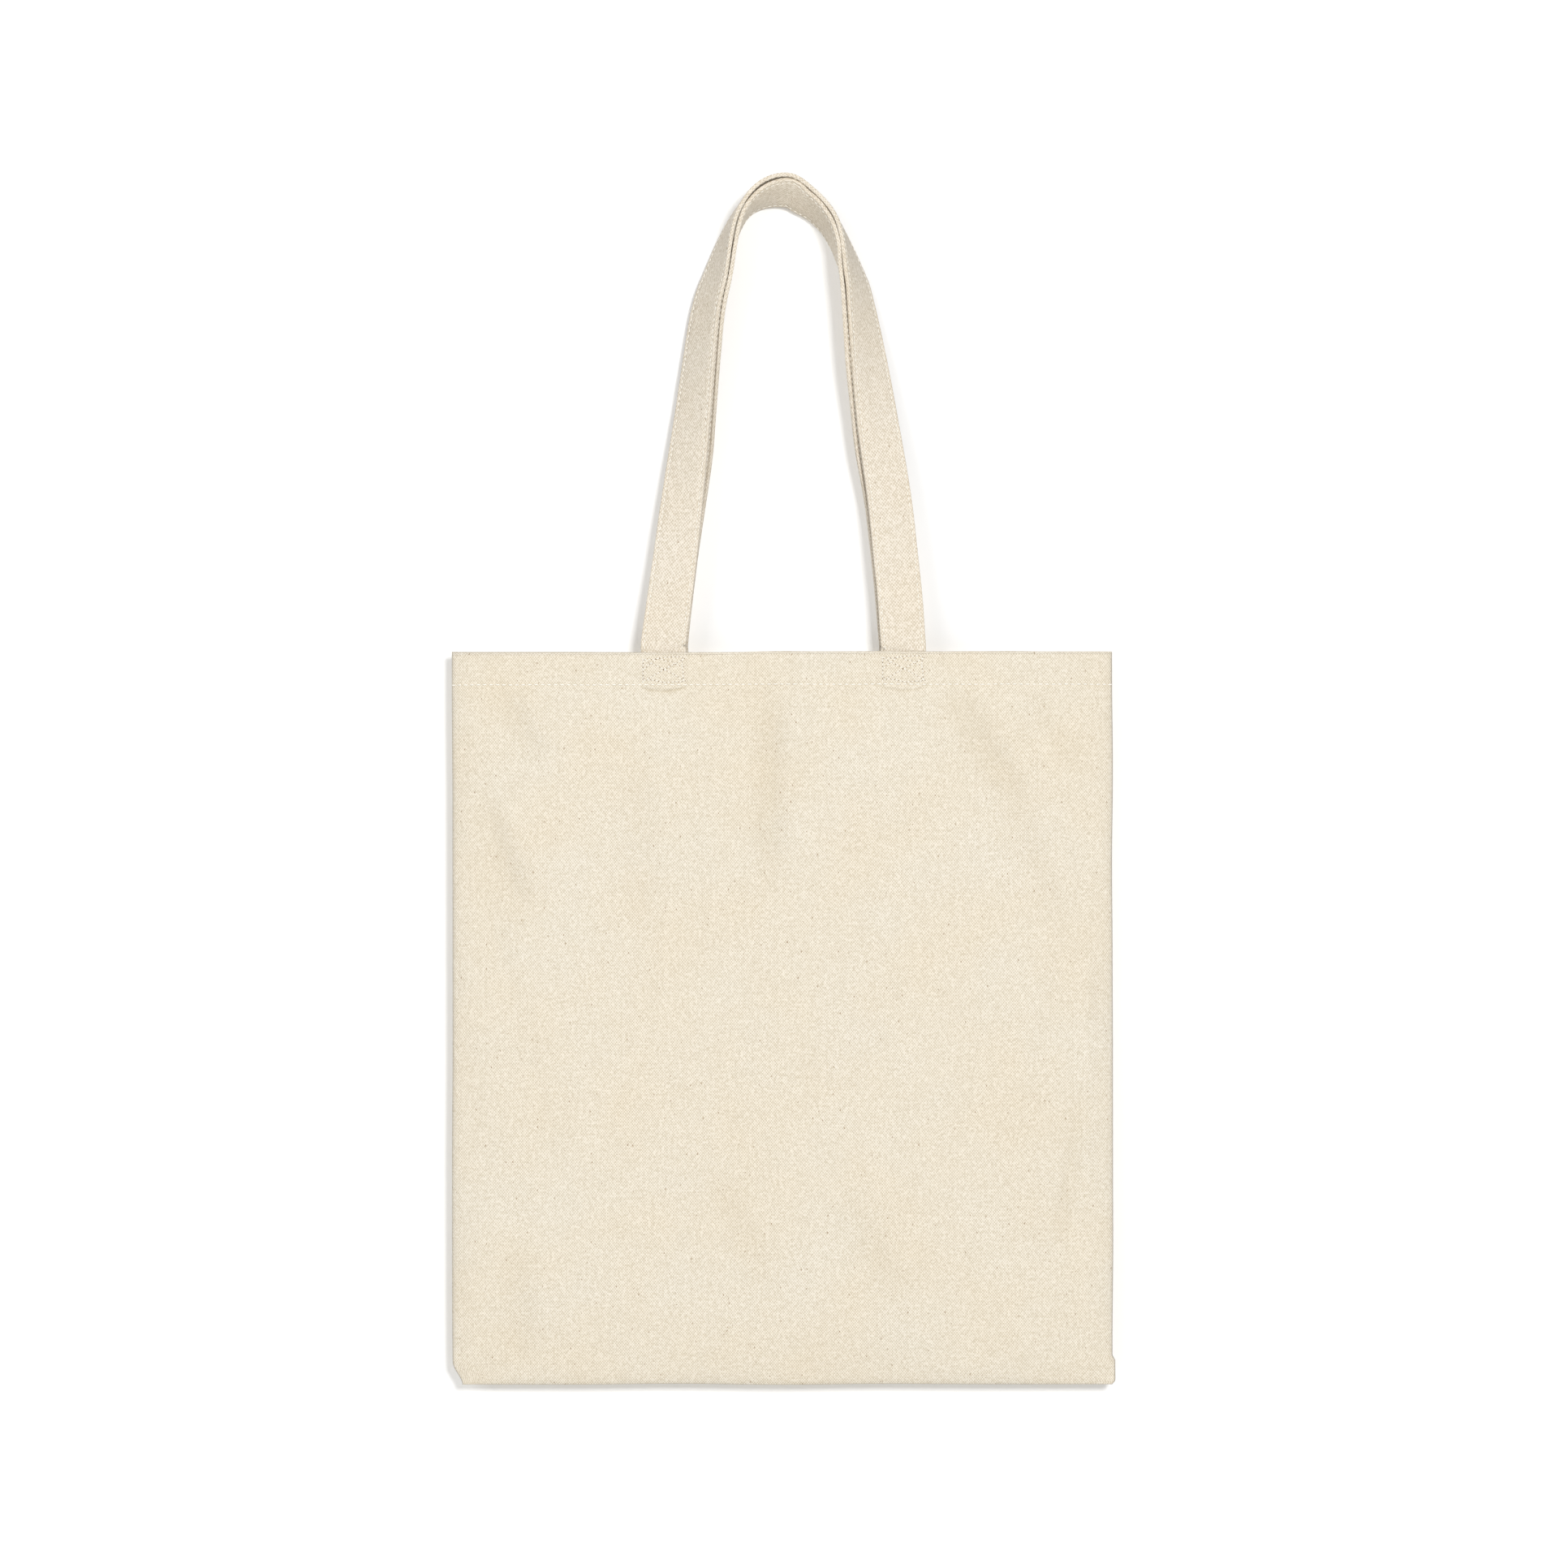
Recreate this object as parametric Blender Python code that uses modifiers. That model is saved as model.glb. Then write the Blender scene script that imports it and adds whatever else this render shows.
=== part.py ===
"""Flat canvas tote bag with two long self-fabric handles, hanging by its handles.

Axes: +X to the right, +Y to the back, +Z up. The front of the bag faces -Y.
Origin: under the middle of the inner handle's crown, where a hook would hold the bag.
All sizes are in metres. Run with: blender --background --python part.py
"""
import math

import bmesh
import bpy
from mathutils import Matrix, Vector

# ---- driving dimensions -------------------------------------------------------------
BAG_WIDTH = 0.380
BAG_HEIGHT = 0.422
BAG_DEPTH = 0.0180           # both panels together, the empty bag hanging slightly open
MOUTH_DEPTH = 0.0156         # the same at the hemmed mouth, which draws in a little
MOUTH_TAPER = 0.0600         # where the drawing-in starts, below the mouth edge
EDGE_ROLL = 0.060            # how far the rolled edge reaches in from a side or the bottom
CLOTH = 0.0008               # one panel, with its weave
HEM_DEPTH = 0.0200           # turned-in band along the mouth
HEM_STITCH_DROP = 0.0190     # hem stitch row, below the mouth edge
SEAM_ALLOWANCE = 0.0100      # cloth beyond a seam, left inside the bag
ALLOWANCE_THICKNESS = 0.0012

STRAP_WIDTH = 0.0260
STRAP_THICKNESS = 0.0020     # four layers of cloth
HANDLE_SPREAD = 0.1370       # between the middles of one handle's two legs
FRONT_HANDLE_RISE = 0.2732   # mouth edge to the middle of the strap at the crown
CROWN_TILT = 33              # degrees, how far the inner strap's near edge stands up
HANDLE_END_LENGTH = 0.0206   # sewn part of a strap, inside the mouth
STRAP_STITCH_INSET = 0.0022  # edge stitch rows, from the strap's edge

THREAD_RADIUS = 0.0003
BOX_STITCH_WIDTH = 0.0230
BOX_STITCH_HEIGHT = 0.0140
BOX_STITCH_DROP = 0.0100     # middle of the box stitch, below the mouth edge

# ---- clearances ---------------------------------------------------------------------
GAP = 0.0003                 # between two layers that lie on each other
SEAM_HALF_GAP = 0.0003       # from the middle plane to a panel's rim at a seam
ALLOWANCE_INSET = 0.0022     # from the bag's edge to the allowance strip
HANDLE_JOINT_GAP = 0.0004    # from the mouth edge to a moving strap, and to a sewn end
CROWN_CLEARANCE = 0.00108    # between the two straps at the crown, where they nest
HEM_MARGIN = 0.0020          # even panel below the turned-in band, before the taper

# ---- derived places -----------------------------------------------------------------
HALF_WIDTH = BAG_WIDTH / 2
HALF_DEPTH = BAG_DEPTH / 2
TILTED_RISE = (STRAP_WIDTH * math.sin(math.radians(CROWN_TILT))
               + STRAP_THICKNESS * math.cos(math.radians(CROWN_TILT))) / 2
BACK_HANDLE_RISE = FRONT_HANDLE_RISE - STRAP_THICKNESS / 2 - CROWN_CLEARANCE - TILTED_RISE
MOUTH_Z = -(BACK_HANDLE_RISE - STRAP_THICKNESS / 2)
BOTTOM_Z = MOUTH_Z - BAG_HEIGHT
HALF_MOUTH = MOUTH_DEPTH / 2
MOUTH_FULLNESS = (HALF_MOUTH - CLOTH - SEAM_HALF_GAP) / (HALF_DEPTH - CLOTH - SEAM_HALF_GAP)
STRAP_Y = HALF_MOUTH - 2 * (CLOTH + GAP) - STRAP_THICKNESS / 2   # behind panel and hem
HINGE_Y = HALF_MOUTH + GAP
THREAD_Y = HALF_MOUTH + GAP + THREAD_RADIUS
SEAM_THREAD_INSET = (CLOTH + ALLOWANCE_INSET) / 2

# ---- meshing ------------------------------------------------------------------------
ROLL_ANGLES = (0, 7, 15, 26, 40, 56, 73, 90)        # degrees round the rolled edge
HEM_ROLL_ANGLES = ROLL_ANGLES[2:]
FLAT_COLUMNS = 4
FLAT_ROWS = 4
TAPER_ROWS = 3
HEM_ROWS = 2
STRAP_STATIONS = 60
CORNER_CLIP = 0.22                                  # share of the strap's thickness

# A handle's route: (across, up, twist). Across is a share of half the spread, up is a
# share of the rise, and twist is the turn of the strap about its own length in degrees:
# 0 faces the front, 90 has its width front to back.
FRONT_ROUTE = (
    (-0.996, 0.000, 0), (-0.992, 0.030, 1), (-0.879, 0.238, 16), (-0.759, 0.480, 37),
    (-0.654, 0.703, 52), (-0.558, 0.796, 61), (-0.416, 0.910, 82), (-0.219, 0.977, 90),
    (0.029, 1.000, 90), (0.234, 0.974, 90), (0.467, 0.905, 88), (0.606, 0.796, 66),
    (0.663, 0.721, 54), (0.801, 0.480, 24), (0.914, 0.293, 12), (1.009, 0.030, 1),
    (1.013, 0.000, 0),
)
BACK_ROUTE = (
    (-0.981, 0.000, 0), (-0.977, 0.030, 1), (-0.876, 0.247, 12), (-0.711, 0.498, 34),
    (-0.604, 0.684, 52), (-0.495, 0.794, 68), (-0.388, 0.889, 85), (-0.255, 0.965, 98),
    (0.029, 1.000, 90 + CROWN_TILT), (0.150, 0.984, 118), (0.280, 0.952, 111), (0.425, 0.892, 99),
    (0.470, 0.817, 85), (0.584, 0.684, 66), (0.720, 0.498, 36), (0.886, 0.304, 18),
    (0.996, 0.030, 1), (1.000, 0.000, 0),
)

FRONT = -1                                          # sign of y on each side of the bag
BACK = 1
SIDES = (("front", FRONT), ("back", BACK))


def smooth_step(share):
    """0 to 1 with level ends."""
    share = min(max(share, 0.0), 1.0)
    return share * share * (3 - 2 * share)


def clear_scene():
    """Remove whatever the new file holds."""
    for item in list(bpy.data.objects):
        bpy.data.objects.remove(item)


def make_material(name, colour, roughness):
    """A plain cloth or thread finish."""
    material = bpy.data.materials.new(name)
    material.use_nodes = True
    shader = material.node_tree.nodes["Principled BSDF"]
    shader.inputs["Base Color"].default_value = (*colour, 1.0)
    shader.inputs["Roughness"].default_value = roughness
    shader.inputs["Metallic"].default_value = 0.0
    return material


def add_object(name, data, material, collection, hinge=None):
    """Put a finished mesh or curve in the scene, on its hinge when it moves."""
    item = bpy.data.objects.new(name, data)
    data.materials.append(material)
    collection.objects.link(item)
    if hinge is not None:
        item.parent = hinge
        item.matrix_parent_inverse = Matrix.Translation(-hinge.location)
    return item


def add_hinge(name, side, collection):
    """An empty on the line where a handle folds over the mouth edge."""
    hinge = bpy.data.objects.new(name, None)
    hinge.location = (0.0, side * HINGE_Y, MOUTH_Z)
    hinge.empty_display_size = STRAP_WIDTH
    collection.objects.link(hinge)
    return hinge


def solidify(item, offset):
    """Give an open sheet its wall, out from its face at offset 1 and in at offset -1."""
    wall = item.modifiers.new("wall", "SOLIDIFY")
    wall.thickness = CLOTH
    wall.offset = offset
    wall.use_even_offset = True


# ---- the bag's body -----------------------------------------------------------------
def rolled_point(angle_deg, fullness=1.0, inset=0.0):
    """A point of a panel's rolled edge: how far in from the bag's edge, and how far from
    the middle plane. It lies on the panel's inner face, or that far inside it. Fullness
    is 1 where the bag has its whole depth, and 0 at its bottom seam."""
    angle = math.radians(angle_deg)
    run = EDGE_ROLL - CLOTH
    rise = (HALF_DEPTH - CLOTH - SEAM_HALF_GAP) * fullness
    inwards = CLOTH + run * (1 - math.cos(angle))
    depth = SEAM_HALF_GAP + rise * math.sin(angle)
    normal = Vector((rise * math.cos(angle), -run * math.sin(angle))).normalized()
    return inwards + inset * normal.x, depth + inset * normal.y


def section_columns(angles, fullness=1.0, inset=0.0):
    """(x, depth) across the bag: a rolled edge, the flat middle, the other rolled edge."""
    rolled = [rolled_point(angle, fullness, inset) for angle in angles]
    left = [(-HALF_WIDTH + inwards, depth) for inwards, depth in rolled]
    flat_edge, flat_depth = left[-1]
    step = -2 * flat_edge / FLAT_COLUMNS
    flat = [(flat_edge + step * i, flat_depth) for i in range(1, FLAT_COLUMNS)]
    right = [(-x, depth) for x, depth in reversed(left)]
    return left + flat + right


def panel_rows():
    """(z, fullness) from the bottom, over the flat, to the mouth."""
    rows = []
    for angle in ROLL_ANGLES:
        inwards, _ = rolled_point(angle)
        rows.append((BOTTOM_Z + inwards, math.sin(math.radians(angle))))
    flat_bottom = rows[-1][0]
    flat_top = MOUTH_Z - MOUTH_TAPER
    hem_bottom = MOUTH_Z - HEM_DEPTH - HEM_MARGIN
    step = (flat_top - flat_bottom) / FLAT_ROWS
    rows += [(flat_bottom + step * i, 1.0) for i in range(1, FLAT_ROWS + 1)]
    for i in range(1, TAPER_ROWS + 1):
        share = i / TAPER_ROWS
        fullness = 1.0 + (MOUTH_FULLNESS - 1.0) * smooth_step(share)
        rows.append((flat_top + (hem_bottom - flat_top) * share, fullness))
    rows.append((MOUTH_Z, MOUTH_FULLNESS))
    return rows


def sheet_mesh(name, angles, inset, rows, side):
    """A grid bent into a sheet. Its faces point away from the bag's middle plane."""
    sections = [section_columns(angles, fullness, inset) for _, fullness in rows]
    last_column, last_row = len(sections[0]) - 1, len(rows) - 1
    grid = bmesh.new()
    bmesh.ops.create_grid(grid, x_segments=last_column, y_segments=last_row, size=1.0)
    for vert in grid.verts:
        row = round((vert.co.y + 1) / 2 * last_row)
        x, depth = sections[row][round((vert.co.x + 1) / 2 * last_column)]
        vert.co = Vector((x, side * depth, rows[row][0]))
    if side == BACK:
        bmesh.ops.reverse_faces(grid, faces=grid.faces)
    mesh = bpy.data.meshes.new(name)
    grid.to_mesh(mesh)
    grid.free()
    return mesh


def build_panel(name, side, material, collection):
    """One side of the bag: a shallow tray of cloth with rolled edges."""
    mesh = sheet_mesh(name, ROLL_ANGLES, 0.0, panel_rows(), side)
    mesh.shade_smooth()
    solidify(add_object(name, mesh, material, collection), 1.0)


def build_hem(name, side, material, collection):
    """The band of the panel that is turned in at the mouth, lying inside it."""
    bottom = MOUTH_Z - HEM_DEPTH
    rows = [(bottom + HEM_DEPTH * i / HEM_ROWS, MOUTH_FULLNESS) for i in range(HEM_ROWS + 1)]
    mesh = sheet_mesh(name, HEM_ROLL_ANGLES, GAP, rows, side)
    solidify(add_object(name, mesh, material, collection), -1.0)


def box_mesh(name, low, high):
    """A plain box between two corners."""
    box = bmesh.new()
    bmesh.ops.create_cube(box, size=1.0)
    low, high = Vector(low), Vector(high)
    size = high - low
    for vert in box.verts:
        share = vert.co + Vector((0.5, 0.5, 0.5))
        vert.co = Vector((low.x + share.x * size.x, low.y + share.y * size.y,
                          low.z + share.z * size.z))
    mesh = bpy.data.meshes.new(name)
    box.to_mesh(mesh)
    box.free()
    return mesh


def build_allowances(material, collection):
    """The raw edges beyond the seams, lying flat between the panels."""
    half = ALLOWANCE_THICKNESS / 2
    edge = HALF_WIDTH - ALLOWANCE_INSET
    corner = ALLOWANCE_INSET + 2 * SEAM_ALLOWANCE
    top = MOUTH_Z - HEM_DEPTH - HANDLE_JOINT_GAP
    for name, sign in (("left_seam_allowance", -1), ("right_seam_allowance", 1)):
        xs = sorted((sign * edge, sign * (edge - SEAM_ALLOWANCE)))
        mesh = box_mesh(name, (xs[0], -half, BOTTOM_Z + corner), (xs[1], half, top))
        add_object(name, mesh, material, collection)
    name = "bottom_seam_allowance"
    low = (-HALF_WIDTH + corner, -half, BOTTOM_Z + ALLOWANCE_INSET)
    high = (HALF_WIDTH - corner, half, BOTTOM_Z + ALLOWANCE_INSET + SEAM_ALLOWANCE)
    add_object(name, box_mesh(name, low, high), material, collection)


# ---- thread -------------------------------------------------------------------------
def build_thread(name, points, material, collection, hinge=None):
    """A thread along the given points, as a round curve with filled ends."""
    curve = bpy.data.curves.new(name, "CURVE")
    curve.dimensions = "3D"
    curve.bevel_depth = THREAD_RADIUS
    curve.bevel_resolution = 0
    curve.use_fill_caps = True
    spline = curve.splines.new("POLY")
    spline.points.add(len(points) - 1)
    for point, place in zip(spline.points, points):
        point.co = (*place, 1.0)
    add_object(name, curve, material, collection, hinge)


def build_hem_stitching(name, side, material, collection):
    """The row of stitches that holds the hem, on the outer face of a panel."""
    outset = CLOTH + GAP + THREAD_RADIUS
    columns = section_columns(HEM_ROLL_ANGLES, MOUTH_FULLNESS, -outset)
    z = MOUTH_Z - HEM_STITCH_DROP
    points = [(x, side * depth, z) for x, depth in columns]
    build_thread(name, points, material, collection)


def build_seam_stitching(material, collection):
    """The threads that close the bag, just inside its side and bottom edges."""
    x = HALF_WIDTH - SEAM_THREAD_INSET
    corner = ALLOWANCE_INSET + 2 * SEAM_ALLOWANCE
    low = BOTTOM_Z + corner
    high = MOUTH_Z - HEM_DEPTH - HANDLE_JOINT_GAP
    z = BOTTOM_Z + SEAM_THREAD_INSET
    across = HALF_WIDTH - corner
    runs = {
        "left_seam_stitching": ((-x, 0, low), (-x, 0, high)),
        "right_seam_stitching": ((x, 0, low), (x, 0, high)),
        "bottom_seam_stitching": ((-across, 0, z), (across, 0, z)),
    }
    for name, (start, end) in runs.items():
        start, end = Vector(start), Vector(end)
        points = [start.lerp(end, i / 4) for i in range(5)]
        build_thread(name, points, material, collection)


def build_box_stitch(name, middle_x, side, material, collection):
    """The box of stitches that fixes a strap's end, seen on the outer face."""
    y = side * THREAD_Y
    z = MOUTH_Z - BOX_STITCH_DROP
    half_x = BOX_STITCH_WIDTH / 2
    half_z = BOX_STITCH_HEIGHT / 2
    open_end = 4 * THREAD_RADIUS
    outline = (
        (-half_x, -half_z), (-half_x, half_z), (half_x, half_z), (half_x, -half_z),
        (-half_x + open_end, -half_z),
    )
    points = [(middle_x + x, y, z + rise) for x, rise in outline]
    build_thread(name, points, material, collection)


# ---- the handles --------------------------------------------------------------------
def route_value(route, place):
    """A smooth curve through the route's points, at a place from 0 to the last index."""
    last = len(route) - 1
    index = min(int(place), last - 1)
    share = place - index
    before = Vector(route[max(index - 1, 0)])
    start, end = Vector(route[index]), Vector(route[index + 1])
    after = Vector(route[min(index + 2, last)])
    start_slope = (end - before) / 2
    end_slope = (after - start) / 2
    cube, square = share ** 3, share ** 2
    return (start * (2 * cube - 3 * square + 1) + start_slope * (cube - 2 * square + share)
            + end * (3 * square - 2 * cube) + end_slope * (cube - square))


def route_point(route, rise, side, place):
    """The middle of the strap, and its twist in radians, at a place on its route."""
    across, up, twist = route_value(route, place)
    x = across * HANDLE_SPREAD / 2
    y = side * STRAP_Y * (1 - smooth_step(up))
    z = MOUTH_Z + HANDLE_JOINT_GAP + up * (rise - HANDLE_JOINT_GAP)
    return Vector((x, y, z)), math.radians(twist)


def strap_frames(route, rise, side, count):
    """The strap's middle, width direction and thickness direction at even steps."""
    last = len(route) - 1
    fine = [route_point(route, rise, side, last * i / (20 * last)) for i in range(20 * last + 1)]
    travel = [0.0]
    for (before, _), (after, _) in zip(fine, fine[1:]):
        travel.append(travel[-1] + (after - before).length)
    frames = []
    step = 0
    for i in range(count + 1):
        target = travel[-1] * i / count
        while step < len(travel) - 2 and travel[step + 1] < target:
            step += 1
        share = (target - travel[step]) / (travel[step + 1] - travel[step])
        middle = fine[step][0].lerp(fine[step + 1][0], share)
        twist = fine[step][1] + (fine[step + 1][1] - fine[step][1]) * share
        along = (fine[step + 1][0] - fine[step][0]).normalized()
        if i in (0, count):
            along = Vector((0.0, 0.0, math.copysign(1.0, along.z)))
        inside = Vector((along.z, 0.0, -along.x)).normalized()
        width = inside * math.cos(twist) + Vector((0.0, -1.0, 0.0)) * math.sin(twist)
        width = (width - along * width.dot(along)).normalized()
        frames.append((middle, width, along.cross(width)))
    return frames


def strap_section():
    """The strap's section: a flat band whose long edges are slightly rounded."""
    wide, thick = STRAP_WIDTH / 2, STRAP_THICKNESS / 2
    clip = CORNER_CLIP * STRAP_THICKNESS
    quarter = ((wide, thick - clip), (wide - clip, thick))
    corners = [(x, y) for x, y in quarter]
    corners += [(-x, y) for x, y in reversed(quarter)]
    corners += [(-x, -y) for x, y in quarter]
    corners += [(x, -y) for x, y in reversed(quarter)]
    return corners


def build_strap(name, frames, material, collection, hinge):
    """A flat strap lofted along its route, turning as it goes."""
    section = strap_section()
    strap = bmesh.new()
    rings = []
    for middle, width, thickness in frames:
        rings.append([strap.verts.new(middle + width * a + thickness * b) for a, b in section])
    for ring, after in zip(rings, rings[1:]):
        for i, vert in enumerate(ring):
            j = (i + 1) % len(ring)
            strap.faces.new((vert, ring[j], after[j], after[i]))
    strap.faces.new(list(reversed(rings[0])))
    strap.faces.new(rings[-1])
    bmesh.ops.recalc_face_normals(strap, faces=strap.faces)
    mesh = bpy.data.meshes.new(name)
    strap.to_mesh(mesh)
    strap.free()
    mesh.shade_smooth()
    mesh.set_sharp_from_angle(angle=math.radians(30))
    add_object(name, mesh, material, collection, hinge)


def build_handle(label, side, route, rise, materials, collection):
    """One handle on its hinge, with a row of stitches along each edge of its outer face."""
    hinge = add_hinge(f"{label}_handle_hinge", side, collection)
    frames = strap_frames(route, rise, side, STRAP_STATIONS)
    build_strap(f"{label}_handle", frames, materials["strap"], collection, hinge)
    across = STRAP_WIDTH / 2 - STRAP_STITCH_INSET
    out = side * (STRAP_THICKNESS / 2 + GAP + THREAD_RADIUS)
    for row, sign in (("inner", 1), ("outer", -1)):
        points = [middle + width * sign * across + thickness * out
                  for middle, width, thickness in frames]
        name = f"{label}_handle_{row}_stitching"
        build_thread(name, points, materials["thread"], collection, hinge)


def build_handle_ends(label, side, route, materials, collection):
    """The sewn ends of one handle inside the mouth, and the box stitches that hold them."""
    y = side * STRAP_Y
    ys = (y - STRAP_THICKNESS / 2, y + STRAP_THICKNESS / 2)
    for end, index in (("left", 0), ("right", -1)):
        x = route[index][0] * HANDLE_SPREAD / 2
        low = (x - STRAP_WIDTH / 2, ys[0], MOUTH_Z - HANDLE_JOINT_GAP - HANDLE_END_LENGTH)
        high = (x + STRAP_WIDTH / 2, ys[1], MOUTH_Z - HANDLE_JOINT_GAP)
        name = f"{label}_{end}_handle_end"
        add_object(name, box_mesh(name, low, high), materials["strap"], collection)
        name = f"{label}_{end}_box_stitch"
        build_box_stitch(name, x, side, materials["thread"], collection)


def build_bag():
    """The whole bag, in the order it is sewn."""
    collection = bpy.data.collections.new("canvas_tote_bag")
    bpy.context.scene.collection.children.link(collection)
    materials = {
        "panel": make_material("canvas", (0.86, 0.79, 0.64), 0.92),
        "hem": make_material("hem_canvas", (0.86, 0.79, 0.64), 0.92),
        "allowance": make_material("raw_edge_canvas", (0.82, 0.75, 0.60), 0.95),
        "strap": make_material("strap_canvas", (0.87, 0.80, 0.66), 0.90),
        "thread": make_material("cotton_thread", (0.90, 0.85, 0.73), 0.80),
    }
    routes = {"front": (FRONT_ROUTE, FRONT_HANDLE_RISE), "back": (BACK_ROUTE, BACK_HANDLE_RISE)}
    for label, side in SIDES:
        route, rise = routes[label]
        build_panel(f"{label}_panel", side, materials["panel"], collection)
        build_hem(f"{label}_hem", side, materials["hem"], collection)
        build_hem_stitching(f"{label}_hem_stitching", side, materials["thread"], collection)
        build_handle_ends(label, side, route, materials, collection)
        build_handle(label, side, route, rise, materials, collection)
    build_allowances(materials["allowance"], collection)
    build_seam_stitching(materials["thread"], collection)


clear_scene()
build_bag()
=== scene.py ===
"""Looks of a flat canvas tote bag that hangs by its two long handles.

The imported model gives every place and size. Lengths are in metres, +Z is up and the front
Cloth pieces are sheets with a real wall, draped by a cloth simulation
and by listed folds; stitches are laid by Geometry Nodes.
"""

import logging
import math
from dataclasses import dataclass, field
from enum import Enum

import bpy
import numpy as np
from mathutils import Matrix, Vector


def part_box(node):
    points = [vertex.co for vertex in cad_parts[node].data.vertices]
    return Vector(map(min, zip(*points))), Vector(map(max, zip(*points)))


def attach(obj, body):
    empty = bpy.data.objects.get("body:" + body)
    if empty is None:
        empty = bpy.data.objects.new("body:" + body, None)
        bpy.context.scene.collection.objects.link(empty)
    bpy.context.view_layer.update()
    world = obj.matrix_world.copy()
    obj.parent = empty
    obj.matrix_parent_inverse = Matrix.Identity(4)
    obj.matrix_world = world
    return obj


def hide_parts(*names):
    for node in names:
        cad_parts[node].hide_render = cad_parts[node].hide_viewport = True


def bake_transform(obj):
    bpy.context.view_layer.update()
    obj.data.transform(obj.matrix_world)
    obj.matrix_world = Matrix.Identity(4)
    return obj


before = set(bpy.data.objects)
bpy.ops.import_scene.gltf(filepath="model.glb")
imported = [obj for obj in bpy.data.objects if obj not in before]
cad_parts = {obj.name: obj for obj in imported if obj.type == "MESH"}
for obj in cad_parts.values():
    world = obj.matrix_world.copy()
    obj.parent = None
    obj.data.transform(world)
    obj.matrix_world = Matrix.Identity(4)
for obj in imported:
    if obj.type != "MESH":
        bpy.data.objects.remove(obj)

LOG = logging.getLogger("tote_bag")
MM = 0.001
BAG_BODY = "bag"

Array = np.ndarray
Socket = bpy.types.NodeSocket
Value = Socket | float | tuple


class Side(Enum):
    """The two faces of the bag. The value is the sign of y."""

    FRONT = -1
    BACK = 1

    @property
    def label(self) -> str:
        """The word that node names use for this side."""
        return self.name.lower()


# ---------- Small helpers ----------
def smooth(share: Array) -> Array:
    """Ease a share from 0 to 1 with level ends.

    Args:
        share: Any numbers; below 0 counts as 0 and above 1 as 1.

    Returns:
        The eased numbers.
    """
    share = np.clip(share, 0.0, 1.0)
    return share * share * (3.0 - 2.0 * share)


def value_noise(points: Array, size: float, seed: int) -> Array:
    """Smooth noise over a plane.

    Args:
        points: Array of (..., 2) places in metres.
        size: Size of one bump in metres.
        seed: Picks the pattern.

    Returns:
        Numbers from about -1 to 1, one for each place.
    """
    table = np.random.default_rng(seed).uniform(-1.0, 1.0, (64, 64))
    scaled = points / size + 1000.0
    cell = np.floor(scaled).astype(int)
    part = smooth(scaled - cell)
    x0, y0 = cell[..., 0] % 64, cell[..., 1] % 64
    x1, y1 = (x0 + 1) % 64, (y0 + 1) % 64
    low = table[x0, y0] * (1 - part[..., 0]) + table[x1, y0] * part[..., 0]
    high = table[x0, y1] * (1 - part[..., 0]) + table[x1, y1] * part[..., 0]
    return low * (1 - part[..., 1]) + high * part[..., 1]


def wave(values: Array, size: float, seed: int) -> Array:
    """Smooth noise along a line, from about -1 to 1.

    Args:
        values: Places along the line in metres.
        size: Size of one bump in metres.
        seed: Picks the pattern.

    Returns:
        One number for each place.
    """
    values = np.asarray(values, float)
    return value_noise(np.stack([values, np.full_like(values, 0.37)], -1), size, seed)


def cubic_weights(places: Array, count: int) -> Array:
    """Weights that read a row of evenly spaced samples at any places, smoothly.

    Args:
        places: Where to read, in samples from 0 to count - 1.
        count: Number of samples.

    Returns:
        Array of (len(places), count) Catmull-Rom weights.
    """
    weights = np.zeros((len(places), count))
    base = np.clip(np.floor(places).astype(int), 0, count - 2)
    t = places - base
    parts = (
        0.5 * (-t**3 + 2 * t**2 - t),
        0.5 * (3 * t**3 - 5 * t**2 + 2),
        0.5 * (-3 * t**3 + 4 * t**2 + t),
        0.5 * (t**3 - t**2),
    )
    rows = np.arange(len(places))
    for step, part in zip((-1, 0, 1, 2), parts):
        np.add.at(weights, (rows, np.clip(base + step, 0, count - 1)), part)
    return weights


def grid_normals(points: Array) -> Array:
    """Unit normals of a grid surface.

    Args:
        points: Array of (rows, columns, 3).

    Returns:
        Array of (rows, columns, 3), rows crossed with columns.
    """
    down = np.gradient(points, axis=0)
    across = np.gradient(points, axis=1)
    normals = np.cross(across, down)
    length = np.linalg.norm(normals, axis=-1, keepdims=True)
    return normals / np.maximum(length, 1e-12)


def make_mesh(name: str, verts: Array, faces: Array, uv: Array | None = None,
              crease_shade: Array | None = None) -> bpy.types.Mesh:
    """Make a smooth mesh from arrays.

    Args:
        name: Name of the mesh.
        verts: Array of (n, 3) in metres.
        faces: Array of (m, 4) vertex numbers.
        uv: Array of (n, 2), the place of each vertex on the flat cloth in metres.
        crease_shade: Array of (n,), how much painted shade darkens each vertex, from 0 to 1.

    Returns:
        The mesh.
    """
    mesh = bpy.data.meshes.new(name)
    mesh.from_pydata(verts.tolist(), [], faces.tolist())
    if uv is not None:
        layer = mesh.uv_layers.new(name="cloth")
        corner = np.empty(len(mesh.loops), dtype=np.int32)
        mesh.loops.foreach_get("vertex_index", corner)
        layer.data.foreach_set("uv", uv[corner].astype(np.float32).ravel())
    if crease_shade is not None:
        shade = mesh.attributes.new("crease_shade", "FLOAT", "POINT")
        shade.data.foreach_set("value", crease_shade.astype(np.float32).ravel())
    mesh.update()
    mesh.shade_smooth()
    return mesh


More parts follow.
